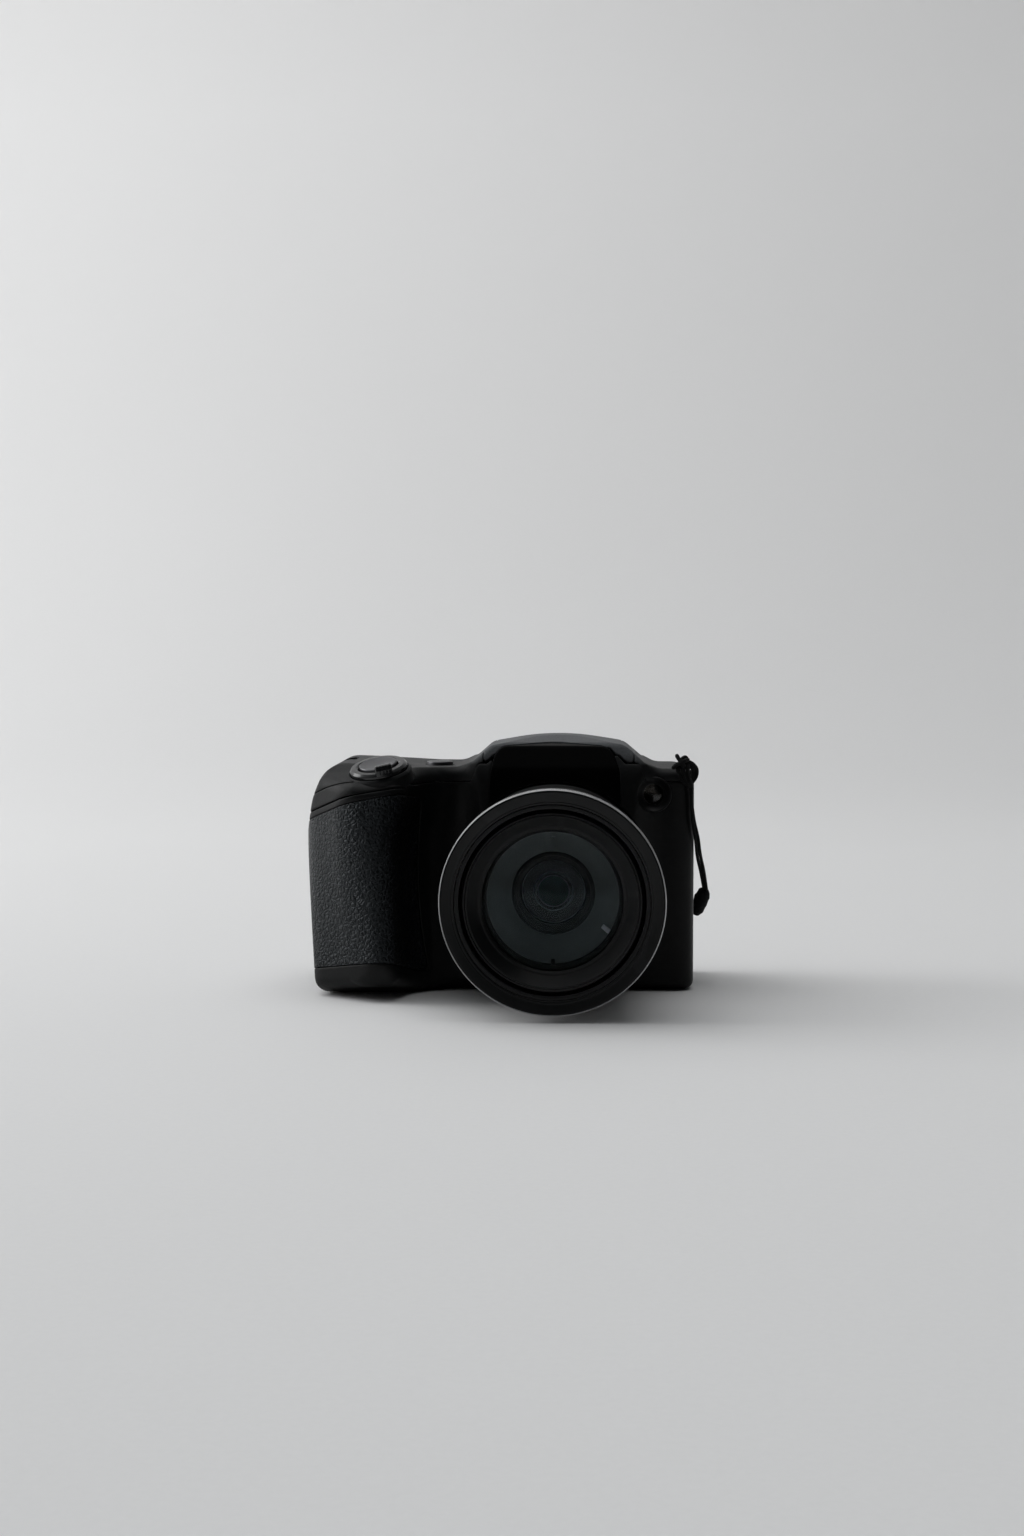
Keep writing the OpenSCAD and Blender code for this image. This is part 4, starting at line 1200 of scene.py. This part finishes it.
def make_controls():
    seat = [(2.4, -3), (2.4, -1.05, 0.1), (7.6, -1.05, 0.2), (7.95, -0.4, 0.15), (8.25, -0.4, 0.15)]
    seat += [(8.7, -1, 0.3), (8.9, -4), (7.6, -4), (7.6, -3)]
    turned("shutter_seat", seat, "deck_plastic", steps=128, place=raised)
    ring = [(5.35, -0.85, 0.1), (5.35, 0.7, 0.15), (5.9, 1.1, 0.2), (7.1, 1.05, 0.2), (7.7, 0.4, 0.3)]
    ring.append((7.7, -0.85, 0.2))
    a = math.radians(-75)
    out, side = np.array([math.cos(a), math.sin(a), 0]), np.array([-math.sin(a), math.cos(a), 0])

    def on_tab(p):
        return raised(p[:, :1] * out + p[:, 2:] * side + p[:, 1:2] * np.array([0, 0, 1]))

    grip = [(5.7, 0.4, 0.1), (8.6, 0.4, 0.35), (8.8, 2.2, 0.5), (8.1, 3.5, 0.6), (6.9, 3.3, 0.5), (5.7, 1.3, 0.3)]
    tab = slab(rounded(grip, 4), -2.2, 2.2, 0.4, on_tab)
    ridge = rounded([(8.2, 1.4, 0.1), (8.8, 1.1, 0.1), (8.92, 2.2, 0.2), (8.3, 3.4, 0.2), (7.8, 3.2, 0.1)], 3)
    ridges = [slab(ridge, h - 0.2, h + 0.2, 0.12, on_tab, 2) for h in (-1.2, -0.4, 0.4, 1.2)]
    lever = join(lathe(ring, raised, 128), tab, *ridges)
    piece("zoom_lever_ring", lever, "button_dark", "lever", "zoom_lever")
    button = [(r, 1.15 + r * r / 60) for r in np.linspace(0, 4.4, 8)]
    button += [(4.75, 1.55, 0.15), (5, 1.3, 0.2), (5, 0.4, 0.1), (2, 0.4), (2, -6.5), (0, -6.5)]
    turned("shutter_button_cap", button, "button_satin", "shutter", "shutter_button", 96, raised)
    cap = [(0, 61.8), (2.3, 61.82), (2.9, 61.95, 0.2), (3.6, 61.75, 0.3), (3.6, 58.4), (4.6, 58.4), (4.6, 57.6)]
    turned("power_button_cap", cap + [(0, 57.6)], "button_satin", "power", "power_button", 72, upright(*POWER_AT))
    for key, (x, z, r) in KEYS.items():
        dome = [(0, 18.3), (r * 0.55, 18.26), (r - 0.4, 18.1, 0.3), (r, 17.6, 0.25), (r, 14.8), (r + 0.7, 14.8)]
        dome += [(r + 0.7, 13.3), (0, 13.3)]
        turned(f"{key}_key", dome, "button_dark", key, f"{key}_button", 64, along_y(x, z))
    middle = [(0, 18.2), (2.6, 18.26), (3.4, 18.4, 0.3), (4, 18.05, 0.3), (4, 13.4), (0, 13.4)]
    turned("set_key", middle, "button_satin", "set", "set_button", 72, along_y(*PAD_AT))
    rim = [(4.6, 16.05, 0.1), (4.6, 17.7, 0.2), (5.4, 18, 0.3), (7.4, 18.45, 0.8), (9.5, 18.4, 0.5)]
    verts, faces = lathe(rim + [(10.4, 17.7, 0.4), (10.4, 16.05, 0.1)], along_y(0, 0), 240)
    ang, rad = np.arctan2(verts[:, 2], verts[:, 0]), np.hypot(verts[:, 0], verts[:, 2])
    near = np.abs((ang + math.pi / 4) % (math.pi / 2) - math.pi / 4) * rad
    mark = (1 - step(near, 0.55, 0.8)) * step(rad, 6.6, 6.9) * (1 - step(rad, 8.6, 8.9)) * (verts[:, 1] > 18)
    verts[:, 1] += 0.15 * mark
    piece("pad_disc", (verts + np.array([PAD_AT[0], 0, PAD_AT[1]]), faces), "button_dark", "pad", "dpad_ring")
    pane = rounded([(-28, 6, 1), (34, 6, 1), (34, 54, 1), (-28, 54, 1)], 6)
    window = slab(pane, 16.9, 18.3, 0.3, lambda p: p[:, [0, 2, 1]])
    piece("screen_window", window, "window_acrylic", replaces="lcd_window")


make_controls()


def make_small_parts():
    """The focus lamp, the threaded tripod socket and the screws in the base."""
    lamp = along_y(*LAMP_AT)
    dome = [(0, -18.2), (0.9, -18.15), (1.7, -17.95), (2.3, -17.6), (2.6, -17.1), (2.6, -16.2), (3.6, -16.2)]
    dome += [(3.6, -15), (0, -15)]
    turned("lamp_lens", dome, "lamp_clear", replaces="focus_lamp", steps=64, place=lamp)
    bowl = [(0, -13.6), (0.8, -13.7), (1.9, -14.3), (2.5, -14.9), (3.5, -14.9), (3.5, -13.2), (0, -13.2)]
    turned("lamp_bowl", bowl, "button_satin", steps=64, place=lamp)
    collar = [(2.75, -16.4), (2.75, -17.2, 0.1), (3.2, -17.3, 0.1), (4.4, -18.75, 0.2), (4.7, -18.8, 0.15)]
    collar += [(4.85, -18.4, 0.1), (4.85, -17.2), (4.3, -16.4)]
    turned("lamp_collar", collar, "lens_black", steps=64, place=lamp)
    pitch, ang = 1.27, around(48)
    thread = []
    for h in np.linspace(0, 6, 61):
        phase = (h / pitch - ang / (2 * math.pi)) % 1
        thread.append(level_ring(2.6 + 0.55 * np.abs(2 * phase - 1), ang, h))
    flange = [(3.3, 0.25), (3.6, 0.05), (4.3, 0.05), (4.45, 0.2), (4.45, 1.7)]
    flange += [(4.9, 1.7), (4.9, 2.7), (4.4, 2.7), (4.4, 7.6)]
    loops = thread[::-1] + [level_ring(r, ang, h) for r, h in flange]
    piece("tripod_bush", banded(loops), "steel", replaces="tripod_socket", sharp=35)
    ang = around(96)
    c, s = np.abs(np.cos(ang)), np.abs(np.sin(ang))
    arm = np.minimum(0.95 / np.maximum(c, s), 0.2 / np.maximum(np.minimum(c, s), 1e-6))
    plain = [(0.8, 4.3), (0.8, 1.3), (1.5, 1.3), (1.5, 0.45), (1.38, 0.32), (1.1, 0.3)]
    rings = plain + [(arm * r, h) for r, h in ((1, 0.3), (0.85, 0.8), (0.3, 0.85))]
    heads = [banded([level_ring(r, ang, h, x, y) for r, h in rings]) for x, y in SCREWS]
    piece("base_screws", join(*heads), "steel", replaces="case_screws", sharp=30)


make_small_parts()


def make_flash():
    """The hinge of the lid and the ribbed window of the flash."""
    bars = []
    for x0, x1 in ((-16.2, -2.9), (4.9, 18.2)):
        bar = [(0.68, x0), (1.25, x0, 0.1), (1.4, x0 + 0.3, 0.1), (1.4, x1 - 0.3, 0.1), (1.25, x1, 0.1), (0.68, x1)]
        bars.append(lathe(bar, along_x(*HINGE), 48))
    piece("flash_lid_hinge", join(*bars), "deck_plastic", "lid")
    tilt = math.radians(145)

    def on_window(p):
        y = p[:, 0] * math.cos(tilt) - p[:, 1] * math.sin(tilt)
        z = p[:, 0] * math.sin(tilt) + p[:, 1] * math.cos(tilt)
        return np.column_stack([1 + p[:, 2], -7.2 + y, 62 + z])

    half, count = 2.65, 12
    ribs = [(-half, -0.8), (half, -0.8)]
    for k in range(count, 0, -1):
        v = -half + 2 * half * k / count
        ribs += [(v, -0.05), (v - 0.22, -0.28)]
    ribs.append((-half, -0.05))
    lens = slab(np.array(ribs), -13.55, 13.55, 0.03, on_window, 1)
    piece("flash_lens", lens, "flash_clear", "lid", "flash_window", 20)


make_flash()


def dress_cad():
    """The finishes of the solids that stay as they are."""
    for part in frame["record"]["subparts"]:
        mesh = frame["nodes"][part["node"]].data
        mesh.materials.clear()
        mesh.materials.append(MATS[part["material_slot"]])


dress_cad()


# Stage and light


def make_stage():
    """Pale paper that curves up behind the object, painted paler towards the top as painted light and painted dark
    far in front of it as painted shade.
    """
    m = Nodes("paper_backdrop")
    grain = m.noise(700, 3, 0.6)
    wide = m.noise(3)
    at = m.axes()
    paper = m.blend(m.between(m.math("ADD", grain, wide), 0.6, 1.4), rgba(0.74), rgba(0.77))
    # Painted light: the paper is painted paler from 2 cm up to 50 cm high, for the brighter light on the upper
    # backdrop.
    paper = m.blend(m.between(at["Z"], 0.02, 0.5), paper, rgba(0.95))
    m.finish(
        # Painted shade: the floor is painted dark from 0.4 m to 0.6 m in front of the object and beyond.
        Base_Color=m.blend(m.between(at["Y"], -0.6, -0.4), rgba(0.1), paper),
        Roughness=m.between(grain, 0, 1, 0.75, 0.9),
        Normal=m.bump(grain, 0.05, 0.0002),
        Specular_IOR_Level=0.2,
    )
    bend = 0.6
    prof = [(-2, 0), (0.5, 0)]
    for t in np.linspace(0, math.pi / 2, 24)[1:]:
        prof.append((0.5 + bend * math.sin(t), bend - bend * math.cos(t)))
    prof.append((1.1, 2.4))
    verts = [(x, y, z - 0.0001) for y, z in prof for x in (-2.5, 2.5)]
    faces = [(2 * i, 2 * i + 1, 2 * i + 3, 2 * i + 2) for i in range(len(prof) - 1)]
    mesh = bpy.data.meshes.new("backdrop")
    mesh.from_pydata(verts, [], faces)
    mesh.polygons.foreach_set("use_smooth", [True] * len(mesh.polygons))
    mesh.materials.append(m.material)
    add_object("backdrop", mesh)


def area_light(name, at, look, size, power):
    data = bpy.data.lights.new(name, "AREA")
    data.shape = "RECTANGLE"
    data.size, data.size_y = size
    data.energy = power
    obj = add_object(name, data)
    obj.location = at
    obj.rotation_euler = (Vector(look) - Vector(at)).to_track_quat("-Z", "Y").to_euler()


def make_light():
    """A soft sky that is brightest behind and to the left, and three soft lamps."""
    world = bpy.data.worlds.new("studio")
    bpy.context.scene.world = world
    world.use_nodes = True
    tree = world.node_tree
    sky = tree.nodes["Background"]
    at, toward, ramp = (tree.nodes.new(f"ShaderNode{kind}") for kind in ("TexCoord", "VectorMath", "MapRange"))
    toward.operation = "DOT_PRODUCT"
    toward.inputs[1].default_value = (-0.45, 0.55, 0.7)
    for key, value in {"From Min": 0.05, "From Max": 1, "To Min": 0.01, "To Max": 0.85}.items():
        ramp.inputs[key].default_value = value
    tree.links.new(at.outputs["Generated"], toward.inputs[0])
    tree.links.new(toward.outputs["Value"], ramp.inputs["Value"])
    tree.links.new(ramp.outputs["Result"], sky.inputs["Strength"])
    sky.inputs["Color"].default_value = (0.95, 0.98, 1, 1)
    area_light("key", (-0.95, 0.35, 0.95), (0, 0, 0.03), (1.1, 1.1), 5)
    area_light("window", (-1.25, 0.15, 0.45), (0, 0, 0.03), (0.7, 0.9), 6)
    area_light("wash", (-0.2, 0.1, 1.9), (0, 1, 0.5), (2, 1), 11)
    bpy.context.scene.view_settings.view_transform = "Standard"


make_stage()
make_light()
